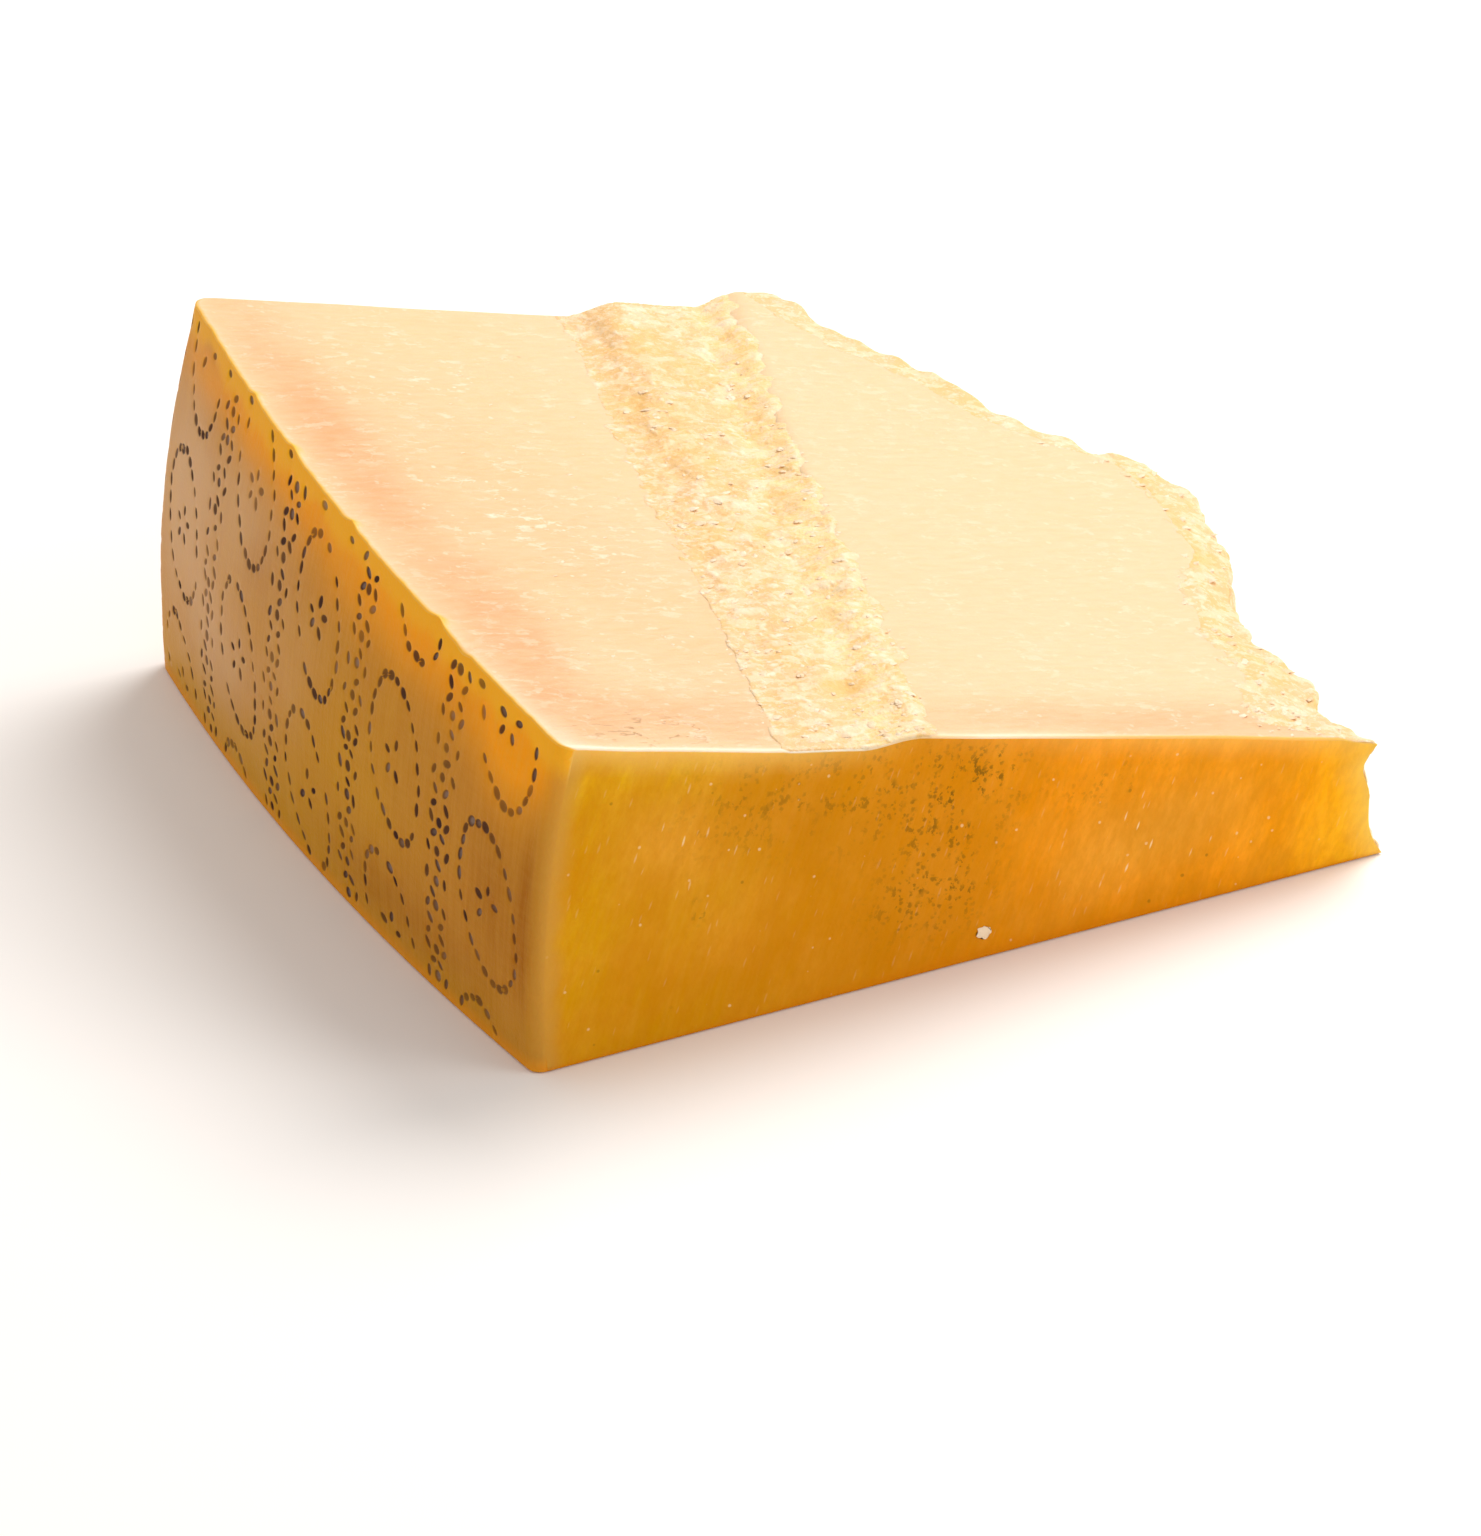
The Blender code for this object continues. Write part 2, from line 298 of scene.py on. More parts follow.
@dataclass(frozen=True)
class UpperCut:
    """The upper cut: two smooth fields, and the torn strip that steps up between them.

    The pairs are values at the front face and at the back face.
    """

    wheel: Wheel = Wheel()
    start_height: float = 0.0134
    slope_x: float = -0.2447
    slope_y: float = 0.0902
    lip_height: float = 0.0005
    lip_width: float = 0.014
    lip_x: float = -0.0915
    lip_depth: float = 0.110
    strip_left_x: float = -0.0470
    strip_slant: float = 0.243
    strip_widths: Pair = (0.0335, 0.0400)
    strip_fade: float = 0.004
    face_fade: float = 0.010
    border_fine: float = 0.0009
    border_spread: float = 0.0038
    border_from: float = 0.045
    border_over: float = 0.070
    torn_early: float = 0.0014
    steps: Pair = (0.0033, 0.0080)
    first_share: Pair = (0.22, 0.50)
    first_run: Pair = (0.022, 0.0135)
    rise_start: Pair = (0.0145, 0.0280)
    rise_stop: Pair = (0.0270, 0.0400)
    crumb_size: float = 0.0065
    crumb_relief: float = 0.0008
    shoulder_relief: float = 0.0018
    wave_size: float = 0.022
    wave_depth: float = 0.00022
    burr_reach: float = 0.0016
    burr_depth: float = 0.0005
    burrs: Patches = patches(
        (24.0, 0, 2.4, 1, 0.9), (-7.7, 0, 2.0, 1, 0.8), (-47.3, 0, 2.6, 1, 1.3), (48.0, 0, 1.8, 1, 0.6),
        (-58.0, 0, 2.0, 1, -0.5),
    )

    def depth(self, y: float) -> float:
        """Distance from the front flat face."""
        return y - self.wheel.front_y

    def along_strip(self, ends: Pair, y: float) -> float:
        """A value that goes evenly from one at the front face to another at the back face."""
        return between(ends, self.depth(y), self.wheel.height)

    def border_run(self, y: float) -> float:
        """How softly the torn strip begins: a fine line at the front, a drawn out border further back."""
        drawn_out = smooth_step((self.depth(y) - self.border_from) / self.border_over)
        return self.border_fine + self.border_spread * drawn_out

    def across(self, x: float, y: float) -> float:
        """Distance from the torn strip's left border."""
        return x - self.strip_left(y)

    def strip_left(self, y: float) -> float:
        """X of the torn strip's left border."""
        return self.strip_left_x + self.strip_slant * self.depth(y)

    def torn_from(self, y: float) -> float:
        """How far left of its border the strip is torn."""
        return self.torn_early + 0.4 * self.border_run(y)

    def strip_width(self, y: float) -> float:
        """Width of the torn strip."""
        return self.along_strip(self.strip_widths, y)

    def riser_middle(self, y: float) -> float:
        """How far across the strip the middle of its main rise lies."""
        return (self.along_strip(self.rise_start, y) + self.along_strip(self.rise_stop, y)) / 2

    def lip(self, x: float, y: float) -> float:
        """How far the cut rides up at the front corner of the rind."""
        near_rind = smooth_step((self.lip_x + self.lip_width - x) / self.lip_width)
        return self.lip_height * near_rind * smooth_step(1.0 - self.depth(y) / self.lip_depth)

    def height(self, x: float, y: float) -> float:
        """Height of the cut. The step is the solid's, drawn out or drawn in a little along the strip.

        Args:
            x: X of the place.
            y: Y of the place.

        Returns:
            Its height.
        """
        left_field = self.start_height + self.slope_x * (x - self.wheel.axis_x) + self.slope_y * self.depth(y)
        across = self.across(x, y)
        pairs = (self.first_share, self.first_run, self.rise_start, self.rise_stop)
        share, run, start, stop = (self.along_strip(ends, y) for ends in pairs)
        risen = share * smooth_step((across + 0.25 * run) / run)
        risen += (1.0 - share) * smooth_step((across - start) / (stop - start))
        inside = smooth_step(across / self.strip_fade)
        inside *= smooth_step((self.strip_widths[0] - across) / self.strip_fade)
        inside *= smooth_step(self.wheel.from_faces(y) / self.face_fade)
        crumbs = relief(x, y, 0.0, self.crumb_size, self.crumb_relief) * inside
        return left_field + self.lip(x, y) + self.along_strip(self.steps, y) * risen + crumbs

    def bumps(self, y: float) -> float:
        """Height of the burrs' larger bumps along the rind, as a share."""
        return sum(patch.at(y, 0.0) for patch in self.burrs)

    def burr(self, from_rind: float, y: float) -> float:
        """The ragged burr that the knife left along the rind."""
        ragged = relief(y, 0.0, 3.5, 0.0055, 1.0) + 0.6 * relief(y, 0.0, 6.5, 0.0018, 1.0)
        return self.burr_depth * (0.7 * ragged + 2.2 * self.bumps(y)) * math.exp(-from_rind / self.burr_reach)


@dataclass(frozen=True)
class BrokenEnd:
    """The broken end, and the shoulder where the upper cut crumbled down beside it.

    The outline's rows are (depth from the front face, distance before the wheel's axis), and the shoulder's are
    (depth, width, drop).
    """

    cut: UpperCut = UpperCut()
    outline: Table = (
        (-0.020, 0.0370), (0.000, 0.0375), (0.010, 0.0410), (0.016, 0.0405), (0.026, 0.0355), (0.033, 0.0365),
        (0.042, 0.0395), (0.052, 0.0370), (0.068, 0.0295), (0.076, 0.0230), (0.090, 0.0190), (0.103, 0.0160),
        (0.116, 0.0210), (0.120, 0.0300), (0.133, 0.0450), (0.149, 0.0505), (0.173, 0.0672), (0.190, 0.0728),
        (0.210, 0.0785),
    )
    shoulder: Table = (
        (0.000, 0.010, 0.0000), (0.008, 0.022, 0.0020), (0.025, 0.018, 0.0025), (0.060, 0.011, 0.0025),
        (0.100, 0.014, 0.0025), (0.125, 0.010, 0.0000),
    )
    hollow_depth: float = 0.003
    hollow_sharpness: int = 5
    crag_size: float = 0.013
    crag_relief: float = 0.0035
    crag_fade: float = 0.008
    corner_reach: float = 0.013
    corner_dent: float = 0.0024
    dent_height: float = 0.76
    dent_half: float = 0.15
    toe_reach: float = 0.0028
    toe_height: float = 0.0055

    def line(self, y: float) -> float:
        """X of the broken end as seen from above."""
        return self.cut.wheel.axis_x - read_table(self.outline, 1, self.cut.depth(y))

    def shoulder_width(self, y: float) -> float:
        """Width of the crumbled shoulder."""
        return read_table(self.shoulder, 1, self.cut.depth(y))

    def shoulder_drop(self, x: float, y: float) -> float:
        """How far the upper cut has crumbled down, as in the solid.

        Args:
            x: X of the place.
            y: Y of the place.

        Returns:
            The drop, which is 0 on the smooth field.
        """
        width = self.shoulder_width(y)
        share = smooth_step((x - self.line(y) + width) / width)
        drop = read_table(self.shoulder, 2, self.cut.depth(y)) * share
        return drop + relief(x, y, self.cut.wheel.radius, self.cut.crumb_size, self.cut.shoulder_relief) * share

    def surface(self, y: float, z: float) -> float:
        """X of the broken face, with the solid's hollow and crags, a dented front corner and its toe.

        Args:
            y: Y of the place.
            z: Height of the place.

        Returns:
            Its X.
        """
        face_height = self.cut.height(self.line(y), y)
        hollow = self.hollow_depth * max(0.0, 1.0 - abs(2.0 * z / face_height - 1.0) ** self.hollow_sharpness)
        fade = smooth_step((face_height - z) / self.crag_fade)
        crags = relief(self.cut.wheel.radius, y, z, self.crag_size, self.crag_relief) * fade
        dent = self.corner_dent * bell((z / face_height - self.dent_height) / self.dent_half)
        toe = self.toe_reach * bell(z / self.toe_height)
        return self.line(y) - hollow + crags + bell(self.cut.depth(y) / self.corner_reach) * (toe - dent)

    def top(self, x: float, y: float) -> float:
        """Height of the upper cut with the shoulder's drop and the faint waves of the smooth fields."""
        waves = relief(x, y, 2.5, self.cut.wave_size, self.cut.wave_depth)
        return self.cut.height(x, y) - self.shoulder_drop(x, y) + waves


@dataclass(frozen=True)
class RindMarks:
    """A plain ornament of pricked dots: columns of large dashed ovals, with braids between them.

    A dot is a row of (place along the section, height, turn, slimness from 0 for round to 1 for long). The edge
    places are dots that the knife passed close above, as rows of (y in millimetres, distance below the edge).
    """

    half_length: float = 0.00112
    half_width: float = 0.00060
    pit_depth: float = 0.00045
    clearance: float = 0.0007
    foot_clearance: float = 0.0013
    top_clearance: float = 0.0004
    missing: float = 0.05
    spacing: float = 0.0022
    scatter: float = 0.00022
    turn_scatter: float = 0.12
    column_pitch: float = 0.0385
    first_column: float = 0.0190
    oval_half: Pair = (0.0100, 0.0150)
    oval_pitch: float = 0.0365
    oval_dots: int = 24
    oval_lean: float = 0.26
    flower_radius: float = 0.0031
    flower_dots: int = 5
    braid_step: float = 0.0030
    braid_reach: float = 0.0037
    braid_length: float = 0.0136
    edge_places: Table = (
        (24.0, 0.0014), (26.6, 0.0015), (-7.0, 0.0013), (-9.6, 0.0022), (-46.4, 0.0012), (-49.0, 0.0013),
        (48.5, 0.0014), (62.0, 0.0013), (64.8, 0.0014), (5.0, 0.0016), (-28.0, 0.0014), (-66.0, 0.0015),
    )
    seed: int = 7

    def oval(self, along: float, z: float) -> list[tuple[float, ...]]:
        """A large leaning oval of dashes round a small flower.

        Args:
            along: Middle along the section.
            z: Height of the middle.

        Returns:
            Its dots.
        """
        found = []
        half_along, half_z = self.oval_half
        for dot in range(self.oval_dots):
            turn = math.tau * (dot + 0.5) / self.oval_dots
            rise = half_z * math.sin(turn)
            place = (along + half_along * math.cos(turn) + self.oval_lean * rise, z + rise)
            climb = half_z * math.cos(turn)
            heading = math.atan2(climb, -half_along * math.sin(turn) + self.oval_lean * climb)
            found.append((*place, heading, 0.35 if abs(math.sin(turn)) > 0.85 else 1.0))
        for dot in range(self.flower_dots):
            turn = math.tau * dot / self.flower_dots + 0.4
            place = (along + self.flower_radius * math.cos(turn), z + self.flower_radius * math.sin(turn))
            found.append((*place, turn, 0.8))
        return found

    def braid(self, along: float, top: float) -> list[tuple[float, ...]]:
        """Two dashed strands that cross on their way up.

        Args:
            along: Middle along the section.
            top: Height at which they end.

        Returns:
            Their dots.
        """
        found = []
        for index in range(int(top / self.braid_step) + 1):
            z = index * self.braid_step
            phase = math.tau * z / self.braid_length
            swing = self.braid_reach * math.sin(phase)
            lean = math.atan2(1.0, self.braid_reach * math.tau / self.braid_length * math.cos(phase))
            found += [(along + swing, z, lean, 0.9), (along - swing, z, -lean, 0.9)]
            if abs(swing) > 0.75 * self.braid_reach:
                found.append((along, z, 0.0, 0.0))
        return found

    def places(self, length: float, top: float) -> list[tuple[float, ...]]:
        """All dots, apart from the edge places.

        Args:
            length: Length of the rind's section from flat face to flat face.
            top: Greatest height of the rind.

        Returns:
            The dots.
        """
        found = []
        for column in range(int(length / self.column_pitch) + 1):
            along = self.first_column + column * self.column_pitch
            start = 0.35 * self.oval_pitch * (column % 3)
            for index in range(int(top / self.oval_pitch) + 2):
                found += self.oval(along, start + (index - 0.25) * self.oval_pitch)
            found += self.braid(along + 0.5 * self.column_pitch, top)
        return found


@dataclass
class MeshStore:
    """Corners, faces and masks of the patches, welded where patches share a corner."""

    points: list[Point] = field(default_factory=list)
    faces: list[tuple[int, ...]] = field(default_factory=list)
    face_slots: list[int] = field(default_factory=list)
    masks: list[Masks] = field(default_factory=list)
    index_of: dict[tuple[int, ...], int] = field(default_factory=dict)
    weld_steps: float = 1.0e6
    weld_distance: float = 2.0e-6
    sharp_angle: float = math.radians(50.0)

    def corner(self, place: Point, masks: Masks) -> int:
        """Store a corner, or find it again, and keep the larger of each mask's values.

        Args:
            place: Where it lies.
            masks: Its masks.

        Returns:
            Its index.
        """
        key = tuple(round(value * self.weld_steps) for value in place)
        if key not in self.index_of:
            self.index_of[key] = len(self.points)
            self.points.append(place)
            self.masks.append({})
        index = self.index_of[key]
        held = self.masks[index]
        for mask, value in masks.items():
            held[mask] = max(held.get(mask, 0.0), value)
        return index

    def face(self, corners: Sequence[int], slot: int) -> None:
        """Store a face, unless its corners have fallen together.

        Args:
            corners: Indices of its corners.
            slot: Index of its material.
        """
        kept = tuple(dict.fromkeys(corners))
        if len(kept) > 2:
            self.faces.append(kept)
            self.face_slots.append(slot)

    def grid(self, rows: Sequence[Sequence[int]], slot: int) -> None:
        """Store faces between rows of corners.

        Args:
            rows: The rows, all of one length.
            slot: Index of the faces' material.
        """
        for lower, upper in zip(rows, rows[1:]):
            for column in range(len(lower) - 1):
                self.face((lower[column], lower[column + 1], upper[column + 1], upper[column]), slot)

    def fill(self, corners: Sequence[int], flat: Sequence[Vector], border: int, slot: int) -> None:
        """Store triangles over a patch whose first corners are its border.

        Args:
            corners: Indices of the corners.
            flat: Their places on the patch in millimetres.
            border: Number of corners on the border.
            slot: Index of the triangles' material.
        """
        edges = [(index, (index + 1) % border) for index in range(border)]
        result = delaunay_2d_cdt(flat, edges, [], 1, 1.0e-5)
        for face in result[2]:
            self.face([corners[result[3][corner][0]] for corner in face], slot)

    def to_object(self, name: str) -> bpy.types.Object:
        """Make the object, with each mask as an attribute of its corners.

        Args:
            name: The object's name.

        Returns:
            The object.
        """
        mesh = bpy.data.meshes.new(name)
        mesh.from_pydata(self.points, [], self.faces)
        mesh.polygons.foreach_set("material_index", self.face_slots)
        for mask in Mask:
            values = [held.get(mask, 0.0) for held in self.masks]
            mesh.attributes.new(mask.value, "FLOAT", "POINT").data.foreach_set("value", values)
        builder = bmesh.new()
        builder.from_mesh(mesh)
        bmesh.ops.remove_doubles(builder, verts=builder.verts[:], dist=self.weld_distance)
        bmesh.ops.triangulate(builder, faces=builder.faces[:])
        bmesh.ops.recalc_face_normals(builder, faces=builder.faces[:])
        open_edges = sum(not edge.is_manifold for edge in builder.edges)
        builder.to_mesh(mesh)
        builder.free()
        mesh.shade_smooth()
        mesh.set_sharp_from_angle(angle=self.sharp_angle)
        LOG.info("%s: %d triangles, %d open edges", name, len(mesh.polygons), open_edges)
        return add_object(name, mesh)


@dataclass
class WedgeBody:
    """The wedge as one closed mesh: upper cut, rind side, two flat faces, broken end and underside.

    The sinks under the torn skins are pairs of (start, run), and the tables' rows are (x, share). The patches
    of tone, among them painted light and shade, lie on the upper cut by X and Y, on the flat faces by X and Z,
    and on the rind side by Y and Z.
    """

    end: BrokenEnd = BrokenEnd()
    marks: RindMarks = RindMarks()
    arc_steps: int = 10
    side_steps: int = 190
    field_columns: int = 62
    strip_columns: int = 26
    right_columns: int = 46
    shoulder_columns: int = 14
    height_steps: int = 30
    edge_rounding: float = 0.0005
    foot_rounding: float = 0.0004
    edge_offsets: tuple[float, ...] = (0.0, 0.00006, 0.0002, 0.0005, 0.0011)
    skin_spacing: float = 0.00105
    skin_margin: float = 0.0018
    sink: float = 0.0017
    sink_left: Pair = (0.0004, 0.0018)
    sink_right: Pair = (0.0055, 0.003)
    sink_shoulder: Pair = (-0.0005, 0.003)
    sink_near_face: float = 0.0016
    end_fade: float = 0.002
    face_sink: float = 0.0003
    end_sink: float = 0.0020
    side_unevenness: float = 0.00022
    face_unevenness: float = 0.00025
    dent_size: float = 0.012
    # Share of the painted highlight along the upper cut's front edge, by x.
    edge_highlight: Table = (
        (-0.110, 1.00), (-0.035, 1.00), (-0.020, 0.45), (-0.005, 0.90), (0.008, 0.75), (0.025, 0.25),
        (0.045, 0.00), (0.110, 0.00),
    )
    face_rim: Table = (
        (-0.110, 1.00), (-0.050, 1.00), (-0.032, 0.45), (-0.020, 0.10), (0.000, 0.25), (0.030, 0.55),
        (0.110, 0.75),
    )
    top_tones: Tones = tones(
        # Peach patches, painted shade near the rind.
        warm=(
            (-83, -58, 9, 36, 0.95, -8), (-66, -82, 26, 10, 0.60), (-84, 25, 9, 70, 0.90, -4),
            (35, -89, 60, 8, 0.75), (-58, -10, 26, 90, 0.28, 12),
        ),
        flecked=((-58, -5, 20, 34), (-52, 60, 18, 22, 0.8), (-45, -60, 14, 18, 0.6), (40, -50, 30, 20, 0.25)),
        cracked=((-72, -88, 14, 6),),
    )
    front_tones: Tones = tones(
        light=((-71, 42, 10, 13, 0.60), (38, 18, 17, 10, 0.80), (22, 16, 12, 10, 0.50), (-58, 30, 8, 14, 0.30)),
        deep=(
            (-46, 42, 13, 13, 0.80), (-28, 24, 26, 16, 0.70), (-60, 12, 26, 8, 0.55), (-8, 8, 30, 7, 0.50),
            (35, 3, 26, 3.5, 0.45),
        ),
        # Painted glow of light through the thin tip and along the upper edge.
        glow=(
            (-90, 32, 6, 26, 0.12), (-76, 58, 24, 6, 0.40), (90, 12, 20, 30, 1.00), (50, 40, 40, 4, 0.45, -13),
        ),
        speckled=(
            (-13, 31, 10, 14, 1.00, -12), (-17, 16, 11, 7, 1.00), (-3, 40, 6, 6, 0.90), (-28, 42, 16, 11, 0.65),
            (-54, 46, 14, 10, 0.55), (20, 32, 14, 5, 0.45), (-66.2, 25.7, 1.9, 1.9, 1.00),
            (-73.5, 18.4, 1.4, 1.4, 0.70), (-72, 5.1, 1.5, 1.5, 0.80),
        ),
    )
    back_tones: Tones = tones(
        light=((-20, 40, 22, 14, 0.60), (-70, 25, 14, 18, 0.50)),
        deep=((-45, 50, 18, 14, 0.70), (5, 18, 26, 12, 0.60)),
        # Painted glow, as on the shown face.
        glow=((40, 25, 10, 30, 0.80), (-86, 40, 7, 30, 0.60)),
        speckled=((-52, 22, 14, 11, 0.90, 20), (8, 42, 9, 7, 0.70), (-15, 14, 3, 3, 1.00)),
    )
    side_tones: Tones = tones(
        light=((78, 48, 22, 26, 1.00), (48, 26, 26, 16, 0.75), (40, 56, 26, 13, 0.60), (10, 40, 14, 12, 0.30)),
        deep=((-91, 30, 3.5, 20, 1.00), (-80, 28, 9, 16, 0.65), (-40, 10, 34, 7, 0.45), (30, 50, 8, 6, 0.30)),
        # Orange-gold along the upper edge, partly the rind's colour and partly painted light.
        glow=((-38, 67, 50, 9, 1.00, 3), (-82, 60, 13, 10, 1.00), (40, 74, 50, 6, 0.85)),
        golden=((-20, 30, 26, 14, 0.70), (60, 5, 50, 9, 1.00), (-40, 4, 60, 6, 0.60), (15, 12, 30, 10, 0.60)),
    )

    def __post_init__(self) -> None:
        """Work out the rows that all patches share, and their places along the rind's section."""
        self.cut = self.end.cut
        self.wheel = self.cut.wheel
        self.rows = self.wheel.profile(self.arc_steps, self.side_steps)
        self.row_parts = [np.array(part) for part in zip(*self.rows)]
        steps = [math.dist(first[:2], second[:2]) for first, second in zip(self.rows, self.rows[1:])]
        self.lengths = [0.0] + list(np.cumsum(steps))
        self.store = MeshStore()
        self.columns = [self.column_places(radius, y) for radius, y, _ in self.rows]

    def read(self, along: float, values: Sequence[float]) -> float:
        """One of the rows' values, at a place along the section."""
        return float(np.interp(along, self.lengths, values))

    def raw_top(self, x: float, y: float, from_rind: float) -> float:
        """Height of the body's upper side before its edges are rounded.

        Args:
            x: X of the place.
            y: Y of the place.
            from_rind: Distance from the rind.

        Returns:
            The height, sunk where the torn skins lie on the body with finer meshes of their own.
        """
        across = self.cut.across(x, y)
        strip = smooth_step((across + self.cut.torn_from(y) - self.sink_left[0]) / self.sink_left[1])
        strip *= smooth_step((self.cut.strip_width(y) - self.sink_right[0] - across) / self.sink_right[1])
        into_shoulder = x - self.end.line(y) + self.end.shoulder_width(y)
        shoulder = smooth_step((into_shoulder - self.sink_shoulder[0]) / self.sink_shoulder[1])
        near_face = 0.12 + 0.88 * smooth_step(self.wheel.from_faces(y) / self.sink_near_face)
        sunk = self.sink * max(strip, 0.9 * shoulder) * near_face
        return self.end.top(x, y) + self.cut.burr(from_rind, y) - sunk

    def end_x(self, y: float, z: float) -> float:
        """X of the body's broken end, which lies a little under the torn skin."""
        near_face = smooth_step(self.wheel.from_faces(y) / self.end_fade)
        return self.end.surface(y, z) - self.face_sink - (self.end_sink - self.face_sink) * near_face

    def top_edge_left(self, radius: float, y: float) -> float:
        """X where the upper cut meets the rind."""
        x = self.wheel.side_x(radius, 0.0)
        for _ in range(12):
            x = self.wheel.side_x(radius, self.raw_top(x, y, 0.0) - self.edge_rounding)
        return x

    def top_edge_right(self, y: float) -> float:
        """X where the upper cut meets the broken end."""
        x = self.end.line(y)
        for _ in range(12):
            x = self.end_x(y, self.raw_top(x, y, self.wheel.radius) - self.edge_rounding)
        return x

    def column_places(self, radius: float, y: float) -> list[float]:
        """X of the upper cut's columns in one row.

        Args:
            radius: Radius of the rind in this row.
            y: Y of the row.

        Returns:
            The places from the rind to the broken end.
        """
        left, right = self.top_edge_left(radius, y), self.top_edge_right(y)
        places = [left + offset for offset in self.edge_offsets]
        strip = self.cut.strip_left(y)
        strip_right = strip + self.cut.strip_width(y)
        spans = (
            (strip, self.field_columns),
            (strip_right, self.strip_columns),
            (max(right - self.end.shoulder_width(y), strip_right + 0.001), self.right_columns),
            (right - self.edge_offsets[-1], self.shoulder_columns),
        )
        for stop, count in spans:
            ends = (places[-1], stop)
            places += [between(ends, index, count) for index in range(1, count + 1)]
        return places + [right - offset for offset in reversed(self.edge_offsets[:-1])]

    def height_rows(self, top: float) -> list[float]:
        """Heights of a side's rows, close together near its foot and its upper edge.

        Args:
            top: Height of the upper edge.

        Returns:
            The heights from the foot up.
        """
        foot = self.edge_offsets
        ends = (foot[-1], top - foot[-1])
        middle = [between(ends, index, self.height_steps) for index in range(1, self.height_steps)]
        return list(foot) + middle + [top - offset for offset in reversed(foot)]

    def top_corner(self, row: int, x: float) -> int:
        """Store a corner of the upper cut.

        Args:
            row: Index of its row.
            x: Its X.

        Returns:
            Its index in the store.
        """
        y = self.rows[row][1]
        from_rind, from_front = x - self.columns[row][0], self.cut.depth(y)
        from_edge = min(from_rind, self.columns[row][-1] - x, self.wheel.from_faces(y))
        z = self.raw_top(x, y, from_rind) - round_off(from_edge, self.edge_rounding)
        # Painted highlight: a band along the rind, widest at the front corner, and a line along the front edge.
        edge_highlight = read_table(self.edge_highlight, 1, x)
        pale_reach = 0.0020 + 0.0070 * math.exp(-from_front / 0.075)
        corner_highlight = 0.05 + 0.60 * math.exp(-from_front / 0.014)
        pale = smooth_step(1.0 - from_rind / pale_reach) * corner_highlight
        pale += smooth_step(1.3 - from_front / 0.0011) * edge_highlight
        rim_reach = 0.0008 + 0.0010 * max(self.cut.bumps(y), 0.0) + relief(y, 0.0, 4.5, 0.003, 0.0004)
        front_rim = 0.8 * smooth_step(1.2 - from_front / 0.0006) * (1.0 - edge_highlight)
        masks = tone_masks(self.top_tones, x, y)
        warm_run = 0.0003 + 0.0037 * edge_highlight
        masks[Mask.WARM] *= smooth_step(from_rind / 0.003) * smooth_step(from_front / warm_run)
        masks[Mask.PALE] = min(1.0, pale)
        masks[Mask.RIM] = max(smooth_step(1.2 - from_rind / rim_reach), front_rim)
        return self.store.corner(inside_box((x, y, z)), masks)

    def side_corner(self, along: float, z: float, inward: float, masks: Masks) -> int:
        """Store a corner of the rind side.

        Args:
            along: Place along the section.
            z: Height.
            inward: Depth below the wheel's surface.
            masks: The corner's masks.

        Returns:
            Its index in the store.
        """
        radius, y, angle = (self.read(along, part) for part in self.row_parts)
        inward += round_off(z, self.foot_rounding)
        x = self.wheel.side_x(radius - inward * math.cos(angle), z)
        return self.store.corner((x, y - inward * math.sin(angle), z), masks)

    def side_masks(self, along: float, z: float, top: float) -> Masks:
        """Masks of the plain rind side.

        Args:
            along: Place along the section.
            z: Height.
            top: Height of the upper edge there.

        Returns:
            The masks.
        """
        y = self.read(along, self.row_parts[1])
        from_ends = min(along, self.lengths[-1] - along)
        rim_width = 0.0034 + relief(y, 0.0, 8.5, 0.008, 0.0022) + relief(y, 0.0, 2.5, 0.002, 0.0007)
        return tone_masks(self.side_tones, y, z) | {
            Mask.ROUNDING: smooth_step(1.0 - from_ends / 0.0056),
            Mask.RIM: smooth_step(1.40 - 0.75 * (top - z) / rim_width),
            Mask.FOOT: smooth_step(1.0 - z / 0.0040),
        }

    def build_side(self) -> None:
        """The rind side: a triangulated skin with a pit for each pricked dot."""
        border, skin = self.skin_points()
        dots = self.kept_dots()
        centres = np.array([dot[:2] for dot in dots])
        clear = self.marks.half_length + self.marks.clearance
        inner = [point for point in skin if np.min(np.hypot(*(centres - np.array(point)).T)) > clear]
        found = [(along, z, 0.0, {}) for along, z in border + inner]
        for dot in dots:
            found += self.dot_points(*dot)
        corners = []
        for along, z, pit, masks in found:
            top = self.read(along, self.tops)
            calm = smooth_step(min(along, self.lengths[-1] - along, z, top - z) / 0.006)
            uneven = self.side_unevenness * (1.0 + relief(along, z, 4.5, self.dent_size, 1.0)) * calm
            corners.append(self.side_corner(along, z, uneven + pit, self.side_masks(along, z, top) | masks))
        self.store.fill(corners, [Vector((along / MM, z / MM)) for along, z, _, _ in found], len(border), 1)

    def skin_points(self) -> tuple[list[Pair], list[Pair]]:
        """Places of the rind side's corners, apart from the dots.

        Returns:
            The border as a loop, and the inner places.
        """
        lengths, tops, last = self.lengths, self.tops, len(self.rows) - 1
        border = [(lengths[row], 0.0) for row in range(last)]
        border += [(lengths[last], z) for z in self.height_rows(tops[-1])[:-1]]
        border += [(lengths[row], tops[row]) for row in range(last, 0, -1)]
        border += [(0.0, z) for z in reversed(self.height_rows(tops[0])[1:])]
        inner = []
        for row in range(1, last):
            for offset in self.edge_offsets[1:]:
                inner += [(lengths[row], offset), (lengths[row], tops[row] - offset)]
        for row in [*range(1, self.arc_steps), *range(last - self.arc_steps + 1, last)]:
            inner += self.skin_column(lengths[row], row % 2)
        ends = (lengths[self.arc_steps], lengths[last - self.arc_steps])
        count = round((ends[1] - ends[0]) / self.skin_spacing)
        for index in range(count + 1):
            inner += self.skin_column(between(ends, index, count), index % 2)
        return border, inner

